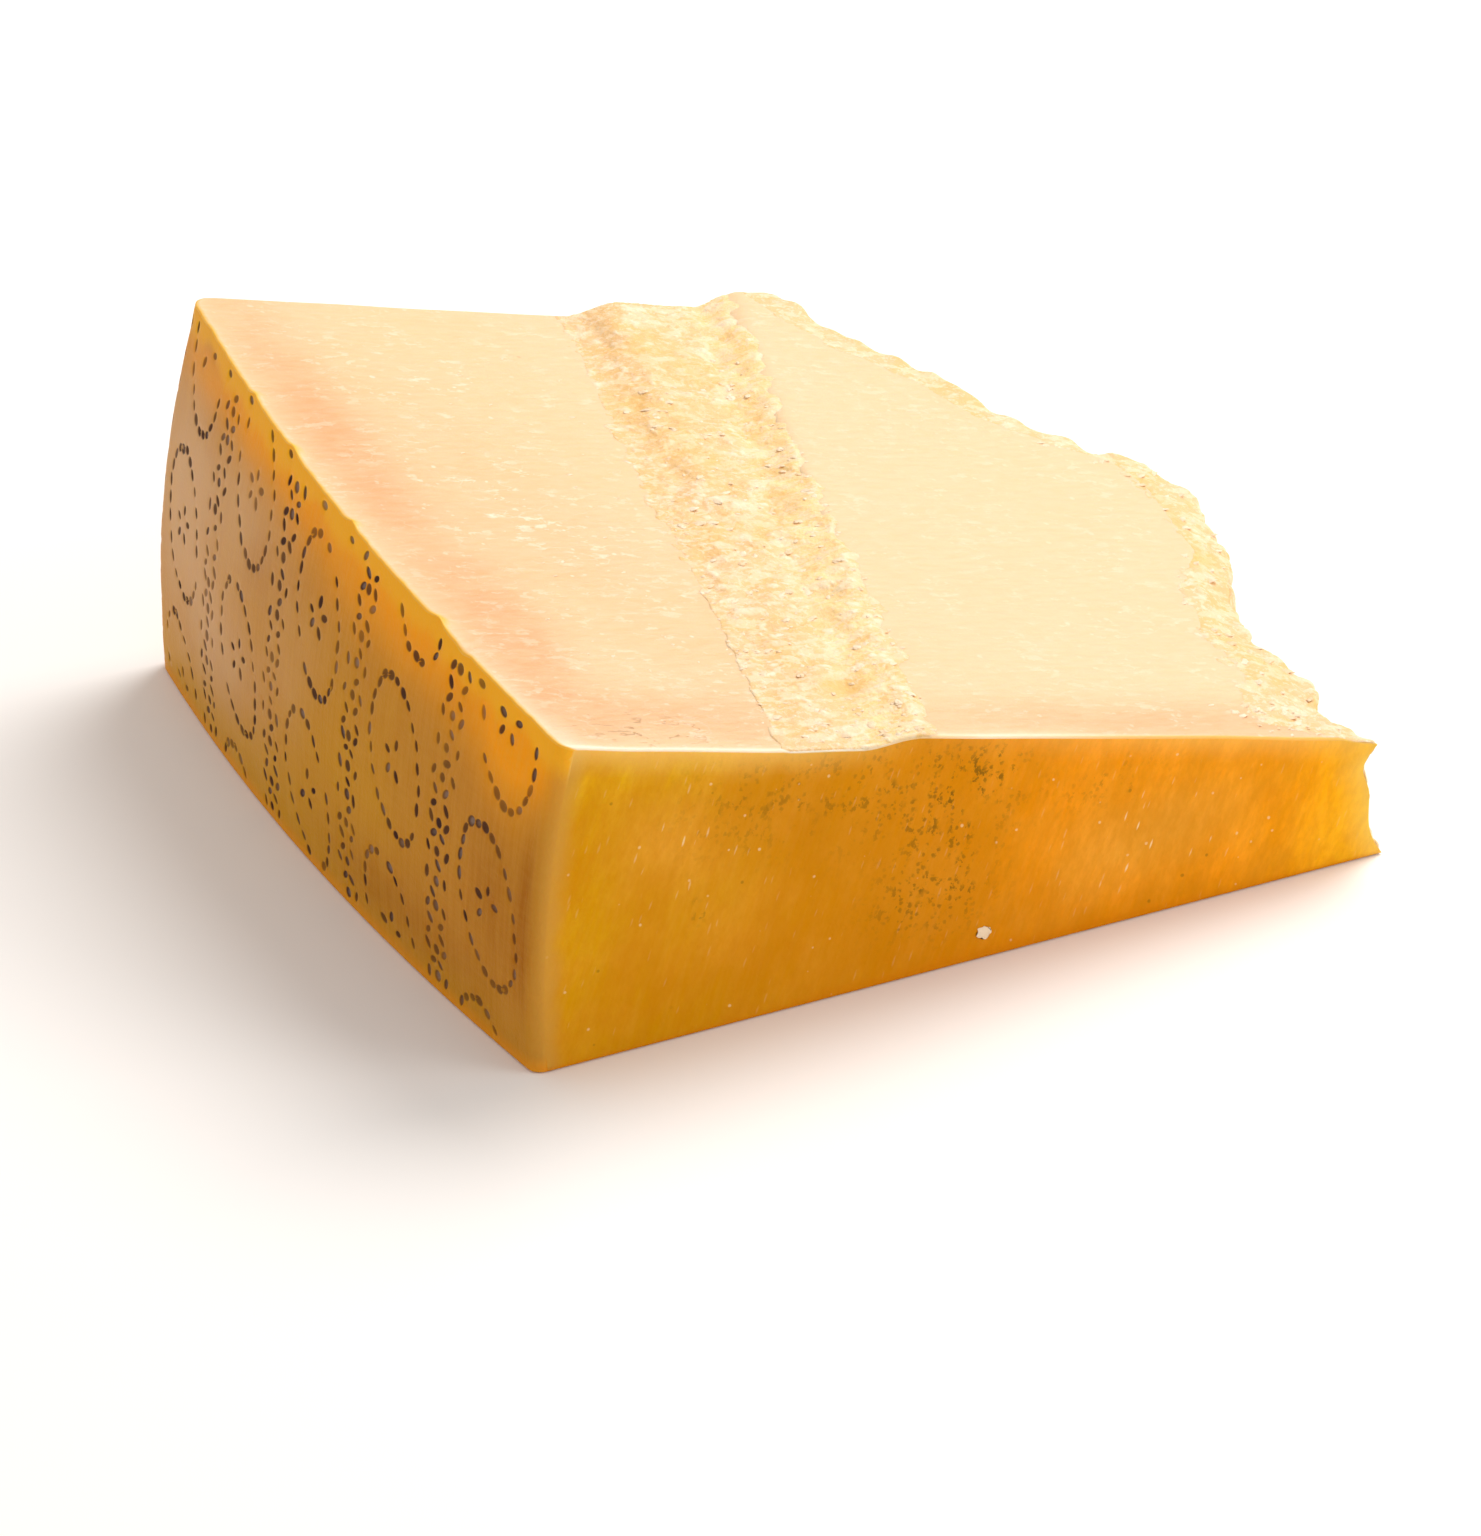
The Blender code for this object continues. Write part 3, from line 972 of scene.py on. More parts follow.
    def skin_column(self, along: float, odd: int) -> list[Pair]:
        """Places up one column of the rind side, set off by half a step in odd columns."""
        ends = (self.skin_margin, self.read(along, self.tops) - self.skin_margin)
        count = round((ends[1] - ends[0]) / self.skin_spacing)
        return [(along, between(ends, index + 0.5 * odd, count)) for index in range(count + 1 - odd)]

    def kept_dots(self) -> list[tuple[float, ...]]:
        """The dots that lie whole on the rind side and clear of each other.

        Returns:
            Rows of (place along the section, height, turn, slimness, scale, darkness, strength of the painted
            highlight in the middle).
        """
        marks = self.marks
        draw = random.Random(marks.seed)
        arc_length = 0.55 * self.lengths[self.arc_steps]
        kept, places = [], []
        for y, below in marks.edge_places:
            along = float(np.interp(y * MM, self.row_parts[1], self.lengths))
            places.append((along, self.read(along, self.tops) - below, 0.1, 0.8))
        for along, z, turn, slim in places + marks.places(self.lengths[-1], max(self.tops)):
            faded = 0.65 + 0.35 * smooth_step((relief(along, z, 2.2, 0.020, 1.0) + 0.35) / 0.5)
            scale = draw.uniform(0.82, 1.12)
            dark = faded * draw.uniform(0.75, 1.0)
            pale = draw.choice((0.0, 0.0, 0.0, 0.5, 0.9))
            turn += draw.gauss(0.0, marks.turn_scatter)
            along += draw.gauss(0.0, marks.scatter)
            z += draw.gauss(0.0, marks.scatter)
            top_margin = marks.top_clearance + 1.3 * marks.half_length * (0.6 + 0.4 * abs(math.sin(turn)))
            top = self.read(along, self.tops) - top_margin
            if not arc_length < along < self.lengths[-1] - arc_length:
                continue
            if not marks.half_length + marks.foot_clearance < z < top or draw.random() < marks.missing:
                continue
            if all(math.hypot(along - dot[0], z - dot[1]) >= marks.spacing for dot in kept):
                kept.append((along, z, turn, slim, scale, dark, pale))
        return kept

    def dot_points(
        self, along: float, z: float, turn: float, slim: float, scale: float, dark: float, pale: float
    ) -> list[tuple[float, float, float, Masks]]:
        """Corners of one pricked dot: a rim, a steep wall and a rounded floor.

        Args:
            along: Middle along the section.
            z: Height of the middle.
            turn: Heading of its long side.
            slim: 0 for round to 1 for long.
            scale: Its size beside the usual one.
            dark: Strength of its ink.
            pale: Strength of the painted highlight in its middle.

        Returns:
            Rows of (place along the section, height, depth, masks).
        """
        marks = self.marks
        half_length = scale * (marks.half_length if slim > 0.0 else 0.85 * marks.half_length)
        half_width = scale * (marks.half_length * 0.85 * (1.0 - slim) + marks.half_width * slim)
        rings = (
            (1.30, 0.0, 0.0, 0.0, 14),
            (1.00, 0.40 * marks.pit_depth, dark, 0.0, 14),
            (0.50, marks.pit_depth, dark, pale, 8),
        )
        cos, sin = math.cos(turn), math.sin(turn)
        found = [(along, z, 1.05 * marks.pit_depth, {Mask.MARK: dark, Mask.MARK_CORE: pale})]
        for ring, (reach, depth, mark, core, count) in enumerate(rings):
            for index in range(count):
                angle = math.tau * (index + 0.5 * (ring % 2)) / count
                long_part = reach * half_length * math.cos(angle)
                wide_part = reach * half_width * math.sin(angle)
                place = (along + long_part * cos - wide_part * sin, z + long_part * sin + wide_part * cos)
                found.append((*place, depth, {Mask.MARK: mark, Mask.MARK_CORE: core}))
        return found

    def face_masks(self, front: bool, place: Pair, sides: Pair, top: float) -> Masks:
        """Masks of a flat face.

        Args:
            front: Whether it is the shown one.
            place: X and Z of the place.
            sides: X of the rind and of the broken end at this height.
            top: Height of the upper edge.

        Returns:
            The masks.
        """
        x, z = place
        rim_width = 0.0032 + relief(x, 0.0, 9.5, 0.012, 0.0012) + relief(x, 0.0, 2.5, 0.002, 0.0005)
        ragged = relief(x, z, 1.5, 0.004, 0.0012)
        # The rims along the upper edge and by the broken end are painted glow of light through the thin edges.
        top_rim = max(0.0, 1.0 - (top - z) / (1.6 * rim_width)) ** 1.3 * read_table(self.face_rim, 1, x)
        # On the shown face the foot band is widest near the middle: painted shadow under the lower edge.
        foot_width = 0.0012 + 0.0026 * bell((x - 0.004) / 0.040) if front else 0.002
        return tone_masks(self.front_tones if front else self.back_tones, x, z) | {
            Mask.FLAT: 1.0,
            Mask.ROUNDING: smooth_step(1.0 - (x - sides[0] + ragged) / 0.0045),
            Mask.RIM: max(top_rim, 0.85 * max(0.0, 1.0 - (sides[1] - x) / 0.008) ** 1.5),
            Mask.FOOT: smooth_step(1.0 - z / foot_width),
        }

    def build_flat_face(self, top_row: list[int], row: int) -> list[list[int]]:
        """One of the wheel's flat faces.

        Args:
            top_row: Corners of the upper cut along this face.
            row: Index of the section's row on this face, 0 or the last.

        Returns:
            Rows of corners from the foot up.
        """
        radius, y, _ = self.rows[row]
        inwards = 1.0 if row == 0 else -1.0
        last = len(top_row) - 1
        columns = []
        for column, corner in enumerate(top_row):
            x_top, _, z_top = self.store.points[corner]
            left, right = self.wheel.side_x(radius, z_top), self.end_x(y, z_top)
            fraction = column / last if column in (0, last) else (x_top - left) / (right - left)
            columns.append([])
            for z in self.height_rows(z_top):
                inset = round_off(z, self.foot_rounding)
                left, right = self.wheel.side_x(radius, z), self.end_x(y, z) - inset
                x = x_top if z == z_top else between((left, right), fraction)
                calm = smooth_step(min(z, z_top - z, x - left, right - x) / 0.005)
                uneven = self.face_unevenness * (1.0 + relief(x, z, 5.5, self.dent_size, 1.0)) * calm
                masks = self.face_masks(row == 0, (x, z), (left, right), z_top)
                columns[-1].append(self.store.corner((x, y + inwards * (inset + uneven), z), masks))
        rows = [list(level) for level in zip(*columns)]
        self.store.grid(rows, 1)
        return rows

    def build_end(self, top_rows: list[list[int]]) -> list[list[int]]:
        """The broken end.

        Args:
            top_rows: Corners of the upper cut.

        Returns:
            Columns of corners from the foot up, from the front face to the back one.
        """
        columns = []
        for row, (_, y, _) in enumerate(self.rows):
            x_top, _, z_top = self.store.points[top_rows[row][-1]]
            inwards = math.copysign(max(0.0, 1.0 - self.wheel.from_faces(y) / self.end_fade), -y)
            columns.append([])
            for z in self.height_rows(z_top):
                inset = round_off(z, self.foot_rounding)
                x = x_top if z == z_top else self.end_x(y, z) - inset
                columns[-1].append(self.store.corner((x, y + inset * inwards, z), {Mask.TORN: 1.0}))
        self.store.grid(columns, 0)
        return columns

    def build(self) -> bpy.types.Object:
        """Build all patches and weld them into one closed object."""
        top = [[self.top_corner(row, x) for x in places] for row, places in enumerate(self.columns)]
        self.store.grid(top, 0)
        self.tops = [self.store.points[corners[0]][2] for corners in top]
        self.build_side()
        front, back = self.build_flat_face(top[0], 0), self.build_flat_face(top[-1], len(top) - 1)
        end = self.build_end(top)
        side = [self.side_corner(along, 0.0, 0.0, {}) for along in self.lengths]
        under = front[0][:-1] + [corners[0] for corners in end][:-1] + back[0][:0:-1] + side[:0:-1]
        self.store.fill(under, [Vector(self.store.points[corner][:2]) / MM for corner in under], len(under), 0)
        return self.store.to_object("wedge_body")


@dataclass
class TornSkin:
    """A finely meshed sheet of torn paste, rooted in the wedge so that it closes to a solid."""

    end: BrokenEnd = BrokenEnd()
    name: str = "torn_skin"
    across_steps: int = 144
    along_steps: int = 600
    root_share: int = 6
    root_depth: float = 0.0035
    root_recess: float = 0.003
    face_gap: float = 0.00006
    lump_size: float = 0.0034
    lump_depth: float = 0.00055
    crumb_size: float = 0.0016
    crumb_depth: float = 0.00038
    grit_size: float = 0.0007
    grit_depth: float = 0.00012
    swell_size: float = 0.0080
    swell_depth: float = 0.0007
    patch_size: float = 0.0065
    warp_size: float = 0.006
    warp_depth: float = 0.0022
    stretch: float = 1.6
    streak_turn: float = math.radians(4.0)
    dive: float = 0.0007
    face_rounding: float = 0.0008
    sharp_angle: float = math.radians(75.0)

    def face_drop(self, y: float) -> float:
        """How far the sheet is let in beside the flat faces, where the body's own edge shows."""
        return 1.2 * round_off(self.end.cut.wheel.from_faces(y), self.face_rounding)

    def texture(self, place: Vector) -> tuple[float, Masks]:
        """Relief of torn paste: flaky lumps, crumbs on them, and grit.

        Args:
            place: Place on the untouched surface.

        Returns:
            The relief outward in metres, and the masks that follow it.
        """
        warp = relief(*place, self.warp_size, self.warp_depth)
        cos, sin = math.cos(self.streak_turn), math.sin(self.streak_turn)
        along = (place.x * cos + place.y * sin) / self.stretch
        bent = Vector((along + warp, place.y * cos - place.x * sin + 0.6 * warp, place.z))
        lump, lump_tone = cell_lump(bent, self.lump_size)
        crumb, crumb_tone = cell_lump(place + Vector((warp, 0.0, warp)), self.crumb_size)
        swell = noise.noise(place / self.swell_size + Vector((8.5, 0.0, 0.0)))
        height = self.lump_depth * (lump * (0.5 + 0.5 * lump_tone) - 0.55)
        height += self.crumb_depth * (crumb * (0.4 + 0.6 * crumb_tone) - 0.45)
        height += relief(*place, self.grit_size, self.grit_depth) + self.swell_depth * swell
        patchy = noise.noise(place / self.patch_size + Vector((0.0, 4.5, 0.0)))
        # The low spots feed the hollow mask, painted deeper orange for light scattered in them.
        low = smooth_step((-height + 0.0004 * patchy) / 0.0009)
        high = smooth_step((crumb - 0.30) / 0.5) * smooth_step((crumb_tone - 0.50) / 0.35)
        high *= smooth_step(0.5 - 1.2 * patchy)
        flake = smooth_step((lump - 0.40) / 0.4) * smooth_step((lump_tone - 0.55) / 0.3)
        return height, {Mask.HOLLOW: low, Mask.TIP: min(1.0, high + 0.6 * flake)}

    def root_y(self, y: float) -> float:
        """Y of the root under a place, which stays back from the two flat faces."""
        limit = self.end.cut.wheel.height / 2 - self.root_recess
        return min(max(y, -limit), limit)

    def corner(self, across: int, along: int) -> tuple[Point, Point, Masks]:
        """A corner of the sheet.

        Args:
            across: Step across the sheet.
            along: Step along it.

        Returns:
            Its place, the root under it, and its masks.
        """
        raise NotImplementedError

    def build(self) -> bpy.types.Object:
        """Build the sheet, its root and the walls between them."""
        store = MeshStore(sharp_angle=self.sharp_angle)
        outer, root = [], []
        for along in range(self.along_steps + 1):
            row, root_row = [], []
            for across in range(self.across_steps + 1):
                place, root_place, masks = self.corner(across, along)
                row.append(store.corner(inside_box(place), masks))
                if along % self.root_share == 0 and across % self.root_share == 0:
                    root_row.append(store.corner(inside_box(root_place), {Mask.TORN: 1.0}))
            outer.append(row)
            if root_row:
                root.append(root_row)
        store.grid(outer, 0)
        store.grid(root, 0)
        rims = [(outer[end], root[end]) for end in (0, -1)]
        rims += [tuple([row[end] for row in sheet] for sheet in (outer, root)) for end in (0, -1)]
        for rim, foot in rims:
            for index in range(len(foot) - 1):
                start = index * self.root_share
                store.face([*rim[start:start + self.root_share + 1], foot[index + 1], foot[index]], 0)
        return store.to_object(self.name)


@dataclass
class StripSkin(TornSkin):
    """The torn strip across the upper cut, with pools of hollow paste and a painted lighter band on its shaded
    rise.
    """

    name: str = "torn_strip"
    border_left: float = 0.0095
    border_right: float = 0.0065
    lump_depth: float = 0.00026
    crumb_depth: float = 0.00024
    grit_depth: float = 0.00008
    swell_depth: float = 0.0002
    bias: float = 0.00018
    border_lift: float = 0.00030
    border_half: float = 0.0035
    riser_half: float = 0.0060
    pools: Patches = patches(
        (8, 70, 9, 15, 0.80), (-8, 42, 7, 16, 1.00), (-10, 20, 6, 9, 0.90), (-16, -8, 6, 7, 0.70),
        (-26, -73, 7, 5, 1.00), (2, 0, 5, 5, 0.60), (-28, -50, 5, 6, 0.45), (10, 40, 8, 12, 0.40),
    )

    def cover(self, x: float, y: float) -> float:
        """How far torn paste shows.

        Args:
            x: X of the place.
            y: Y of the place.

        Returns:
            1 in the strip and 0 where it has dived under the smooth fields, with ragged borders.
        """
        cut = self.end.cut
        across, run = cut.across(x, y), cut.border_run(y)
        ragged_left = relief(x, y, 0.5, 0.0035, 0.6 * run + 0.0003)
        ragged_right = relief(x, y, 7.5, 0.0090, 0.0045) + relief(x, y, 9.5, 0.0032, 0.0022)
        left = smooth_step((across + cut.torn_from(y) + run + ragged_left) / run)
        return left * smooth_step((cut.strip_width(y) + 0.0015 - across + ragged_right) / 0.0070)

    def surface(self, x: float, y: float) -> tuple[float, Masks]:
        """The strip's surface.

        Args:
            x: X of the place.
            y: Y of the place.

        Returns:
            Its height and its masks.
        """
        cut, cover = self.end.cut, self.cover(x, y)
        height, masks = self.texture(Vector((x, y, 0.0)))
        pool = sum_patches(self.pools, x, y)
        hollow = masks[Mask.HOLLOW] * (0.45 + 0.75 * pool) + 0.48 * pool + 0.14
        masks[Mask.HOLLOW] = cover * min(1.0, hollow)
        masks[Mask.TIP] *= cover * (1.0 - 0.5 * pool)
        masks[Mask.TORN] = cover
        # Painted light on the main rise, which lies in shade.
        masks[Mask.GLOW] = cover * bell((cut.across(x, y) - cut.riser_middle(y)) / self.riser_half)
        from_border = cut.across(x, y) - cut.strip_width(y) + 0.0050
        raised = self.border_lift * bell(from_border / self.border_half)
        lift = height * (0.35 + 0.65 * cover) + self.bias + raised - 0.0001 * pool
        return self.end.top(x, y) + lift * cover - self.dive * (1.0 - cover) - self.face_drop(y), masks

    def corner(self, across: int, along: int) -> tuple[Point, Point, Masks]:
        """A corner of the strip, like the other sheets'."""
        cut = self.end.cut
        y = (cut.wheel.height / 2 - self.face_gap) * (2.0 * along / self.along_steps - 1.0)
        width = cut.strip_width(y) + self.border_left + self.border_right
        x = cut.strip_left(y) - self.border_left + width * across / self.across_steps
        z, masks = self.surface(x, y)
        return (x, y, z), (x, self.root_y(y), z - self.root_depth), masks


@dataclass
class EndSkin(TornSkin):
    """The crumbled shoulder and the broken face below it."""

    name: str = "broken_end"
    across_steps: int = 174
    along_steps: int = 480
    top_steps: int = 66
    rounding_steps: int = 9
    rounding: float = 0.0014
    overlap: float = 0.0065
    lump_size: float = 0.0040
    lump_depth: float = 0.0009
    crumb_size: float = 0.0018
    crumb_depth: float = 0.00045
    swell_depth: float = 0.0010
    deepest: float = -0.0013
    bias: float = 0.0003
    stretch: float = 1.25
    foot_rounding: float = 0.0009
    pools: Patches = patches((91, 9, 5, 6), (83, -19, 6, 9), (71, -66, 6, 7, 0.9), (88, -5, 4, 6, 0.6))

    def __post_init__(self) -> None:
        """Space the rows evenly along the broken outline."""
        half = self.end.cut.wheel.height / 2 - self.face_gap
        fine = np.linspace(-half, half, 2000)
        lines = [self.end.line(y) for y in fine]
        lengths = np.concatenate(([0.0], np.cumsum(np.hypot(np.diff(fine), np.diff(lines)))))
        wanted = np.linspace(0.0, lengths[-1], self.along_steps + 1)
        self.rows = [float(y) for y in np.interp(wanted, lengths, fine)]
        self.edges = [self.edge(y) for y in self.rows]

    def edge(self, y: float) -> Pair:
        """X and Z where the shoulder turns down into the broken face."""
        x, z = self.end.line(y), 0.0
        for _ in range(10):
            z = self.end.top(x, y) - self.rounding
            x = self.end.surface(y, z)
        return x, z

    def section(self, across: int, along: int) -> Point:
        """The untouched section.

        Args:
            across: Step across the sheet.
            along: Step along it.

        Returns:
            X, Z and the outward normal's angle from +Z.
        """
        y = self.rows[along]
        x_edge, z_edge = self.edges[along]
        flat_end = x_edge - self.rounding
        past_top, past_rounding = across - self.top_steps, across - self.top_steps - self.rounding_steps
        if past_top <= 0:
            x = between((x_edge - self.end.shoulder_width(y) - self.overlap, flat_end), across, self.top_steps)
            return x, self.end.top(x, y), 0.0
        if past_rounding <= 0:
            angle = math.pi / 2 * past_top / self.rounding_steps
            x = flat_end + self.rounding * math.sin(angle)
            return x, self.end.top(x, y) - self.rounding * (1.0 - math.cos(angle)), angle
        z = z_edge * (1.0 - past_rounding / (self.across_steps - self.top_steps - self.rounding_steps))
        return self.end.surface(y, z) - round_off(z, self.foot_rounding), z, math.pi / 2

    def corner(self, across: int, along: int) -> tuple[Point, Point, Masks]:
        """A corner of the broken end, like the other sheets'. Its right part is calmer near its upper edge."""
        y = self.rows[along]
        x, z, angle = self.section(across, along)
        x_edge, z_edge = self.edges[along]
        into = x - x_edge + self.end.shoulder_width(y) + self.overlap
        ragged = relief(x, y, 7.5, 0.0080, 0.0030) + relief(x, y, 9.5, 0.0030, 0.0016)
        cover = smooth_step((into - 0.0010 + ragged) / 0.0060) if angle < 1.0 else 1.0
        height, masks = self.texture(Vector((x, y, z)))
        over = smooth_step(angle / 1.2)
        calm = 1.0 - 0.65 * smooth_step((y - 0.015) / 0.020) * (1.0 - smooth_step((z_edge - z) / 0.006))
        height = (max(height, self.deepest) + self.bias) * (0.36 + 0.64 * over) * calm
        pool = sum_patches(self.pools, x, y) if angle < 1.5 else 0.0
        hollow = masks[Mask.HOLLOW] * (0.30 + 0.30 * over + 0.5 * pool) + 0.5 * pool
        masks[Mask.HOLLOW] = cover * min(1.0, hollow)
        masks[Mask.TIP] *= cover * (0.5 + 0.5 * over) * (1.0 - 0.5 * pool)
        masks[Mask.TORN] = cover
        foot = smooth_step(z / 0.002) if angle > 1.5 else 1.0
        lift = height * cover * foot - self.dive * (1.0 - cover) - self.face_drop(y)
        out_x, out_z = math.sin(angle), math.cos(angle)
        place = (x + out_x * lift, y, z + out_z * lift)
        root_z = max(place[2] - out_z * self.root_depth, 0.0)
        return place, (place[0] - out_x * self.root_depth, self.root_y(y), root_z), masks


@dataclass(frozen=True)
class CrumbField:
    """A field of crumbs in millimetres: along Y, and across it from the strip's border or the broken end."""

    along: Pair
    across: Pair
    count: int
    sizes: Pair
    stretch: float = 1.3
    from_end: bool = False


@dataclass
class Crumbs:
    """Small crumbs and flakes on the torn paste and on the smooth fields, and a fleck on the front face."""

    strip: StripSkin = field(default_factory=StripSkin)
    seed: int = 21
    flake_turn: float = math.radians(4.0)
    turn_spreads: Point = (0.10, 0.10, 0.5)
    thickness: float = 0.30
    rooted: float = 0.14
    coarse_below: float = 0.00055
    sharp_angle: float = math.radians(65.0)
    fields: tuple[CrumbField, ...] = (
        CrumbField((-93.0, 60.0), (-1.0, 32.0), 120, (0.5, 1.2)),
        CrumbField((-93.0, 70.0), (0.0, 33.0), 90, (0.9, 1.8), 1.6),
        CrumbField((-94.0, -80.0), (2.0, 31.0), 36, (0.6, 1.6)),
        CrumbField((-70.0, 40.0), (27.0, 34.0), 30, (0.6, 1.3), 1.6),
        CrumbField((-94.0, 0.0), (-3.0, -0.5), 40, (0.4, 1.0)),
        CrumbField((-92.0, 28.0), (-17.0, -3.0), 60, (0.8, 2.0), 1.6, True),
        CrumbField((-94.0, -82.0), (-32.0, -6.0), 34, (0.6, 1.5), 2.0, True),
        CrumbField((-65.0, 75.0), (-42.0, -8.0), 40, (0.4, 0.9), 1.8),
    )
    fleck: Point = (-0.0055, -0.0950, 0.0055)
    fleck_halves: Point = (0.0015, 0.00075, 0.0012)

    def __post_init__(self) -> None:
        """Start the store and make the two balls that the crumbs are shaped from."""
        self.store = MeshStore(sharp_angle=self.sharp_angle)
        self.fine, self.coarse = self.ball(3), self.ball(2)

    def ball(self, subdivisions: int) -> Ball:
        """Corners and faces of a ball of radius 1."""
        builder = bmesh.new()
        bmesh.ops.create_icosphere(builder, subdivisions=subdivisions, radius=1.0)
        points = [corner.co.copy() for corner in builder.verts]
        faces = [tuple(corner.index for corner in face.verts) for face in builder.faces]
        builder.free()
        return points, faces

    def build(self) -> bpy.types.Object:
        """Scatter the crumbs and join them into one object."""
        draw = random.Random(self.seed)
        end = self.strip.end
        self.add_crumb(self.fine, Vector(self.fleck), Matrix.Diagonal(self.fleck_halves), 4.0, 1.0)
        for group in self.fields:
            for _ in range(group.count):
                y = draw.uniform(*group.along) * MM
                start = end.line(y) if group.from_end else end.cut.strip_left(y)
                x = start + draw.uniform(*group.across) * MM
                half = draw.uniform(*group.sizes) * MM / 2
                covered = self.strip.cover(x, y) > 0.9
                z = self.strip.surface(x, y)[0] if covered else end.top(x, y)
                stretch = Matrix.Diagonal((group.stretch * half, half, self.thickness * half))
                tilt_x, tilt_y, turn = (draw.gauss(0.0, spread) for spread in self.turn_spreads)
                tilt = Euler((tilt_x, tilt_y, self.flake_turn + turn))
                shift, tone = draw.uniform(0.0, 50.0), draw.uniform(0.3, 1.0)
                ball = self.fine if half > self.coarse_below else self.coarse
                centre = Vector((x, y, z - self.rooted * half))
                self.add_crumb(ball, centre, tilt.to_matrix() @ stretch, shift, tone)
        return self.store.to_object("crumbs")

    def add_crumb(self, ball: Ball, centre: Vector, turn: Matrix, shift: float, tone: float) -> None:
        """Store one crumb.

        Args:
            ball: The ball that it is shaped from.
            centre: The crumb's middle.
            turn: Its sizes and turn.
            shift: Where its unevenness is read, so that no two are alike.
            tone: How white it is, from 0 to 1.
        """
        points, faces = ball
        away = Vector((shift, 0.0, 0.0))
        corners = []
        for point in points:
            uneven = 1.0 + 0.55 * noise.noise(point * 1.2 + away) + 0.25 * noise.noise(point * 3.0 + away)
            place = centre + turn @ (point * uneven)
            corners.append(self.store.corner(inside_box(place), {Mask.TORN: 1.0, Mask.TIP: tone}))
        for face in faces:
            self.store.face([corners[corner] for corner in face], 0)


class Bench:
    """Adds nodes to one tree with short calls. Sockets, masks and plain values may be mixed freely."""

    def __init__(self, tree: bpy.types.NodeTree) -> None:
        """Keep the tree."""
        self.tree = tree

    def feed(self, socket: Socket, value: Value) -> None:
        """Link a socket or a mask of the mesh into a socket, or set a plain value on it.

        Args:
            socket: The input.
            value: What goes in.
        """
        if isinstance(value, Mask):
            value = self.add("Attribute", {}, attribute_name=value.value)["Fac"]
        if isinstance(value, Socket):
            self.tree.links.new(value, socket)
        elif socket.type == "RGBA" and len(value) == 3:
            socket.default_value = (*value, 1.0)
        else:
            socket.default_value = value

    def add(self, kind: str, inputs: dict[str | int, Value], **settings: object) -> Sockets:
        """Add a node.

        Args:
            kind: Its type, without the words that all types begin with.
            inputs: Its inputs, by name or number.
            settings: Its options.

        Returns:
            Its outputs.
        """
        node = self.tree.nodes.new(f"ShaderNode{kind}")
        for name, value in settings.items():
            setattr(node, name, value)
        for name, value in inputs.items():
            self.feed(node.inputs[name], value)
        return node.outputs

    def shade(self, inputs: dict[str, Value]) -> None:
        """Feed the shader that a new material has."""
        for name, value in inputs.items():
            self.feed(self.tree.nodes["Principled BSDF"].inputs[name], value)

    def maths(self, operation: str, *values: Value, clamp: bool = False) -> Socket:
        """A Math node."""
        return self.add("Math", dict(enumerate(values)), operation=operation, use_clamp=clamp)[0]

    def times(self, first: Value, *others: Value) -> Value:
        """The product of several values."""
        for value in others:
            first = self.maths("MULTIPLY", first, value)
        return first

    def mix(self, share: Value, first: Value, second: Value) -> Socket:
        """A mix of two colours."""
        return self.add("Mix", {0: share, 6: first, 7: second}, data_type="RGBA")[2]

    def layers(self, colour: Value, *layers: Sequence[Value]) -> Value:
        """Lay colours over one another.

        Args:
            colour: The lowest one.
            layers: The others from below, each followed by the values whose product is its share.

        Returns:
            The mixed colour.
        """
        for above, *shares in layers:
            colour = self.mix(self.times(*shares), colour, above)
        return colour

    def fit(self, value: Value, low: Value, high: Value, to_low: Value = 0.0, to_high: Value = 1.0) -> Socket:
        """Map a value smoothly from one range to another, and hold it there."""
        inputs = {"Value": value, "From Min": low, "From Max": high, "To Min": to_low, "To Max": to_high}
        return self.add("MapRange", inputs, interpolation_type="SMOOTHSTEP")[0]

    def stretched(self, place: Value, scale: Value, axis: str, turn: float) -> Socket:
        """A place turned about an axis and then scaled along each axis."""
        turned = self.add("VectorRotate", {"Vector": place, "Angle": turn}, rotation_type=axis)[0]
        return self.add("VectorMath", {0: turned, 1: scale}, operation="MULTIPLY")[0]

    def noise(self, place: Value, scale: Value, detail: float = 2.0, roughness: float = 0.5) -> Socket:
        """Clouds of tone from 0 to 1, with as many lumps to a metre as the scale says."""
        inputs = {"Vector": place, "Scale": scale, "Detail": detail, "Roughness": roughness}
        return self.add("TexNoise", inputs)[0]

    def ramp(self, value: Value, stops: Sequence[tuple[float, Colour]]) -> Socket:
        """A colour ramp.

        Args:
            value: What it is read at.
            stops: Its places and their colours.

        Returns:
            The colour.
        """
        outputs = self.add("ValToRGB", {0: value})
        elements = outputs[0].node.color_ramp.elements
        while len(elements) < len(stops):
            elements.new(1.0)
        for element, (position, colour) in zip(elements, stops):
            element.position = position
            element.color = (*colour, 1.0)
        return outputs[0]

    def place(self) -> Socket:
        """The place on the object, in metres."""
        return self.add("TexCoord", {})["Object"]

    def x_of(self, place: Value) -> Socket:
        """X of a place."""
        return self.add("SeparateXYZ", {0: place})["X"]

    def effect(self, name: str, place: Value, **numbers: float) -> Socket:
        """One of the shared effects at a place."""
        return self.add("Group", {"Vector": place, **numbers}, node_tree=bpy.data.node_groups[name])[0]


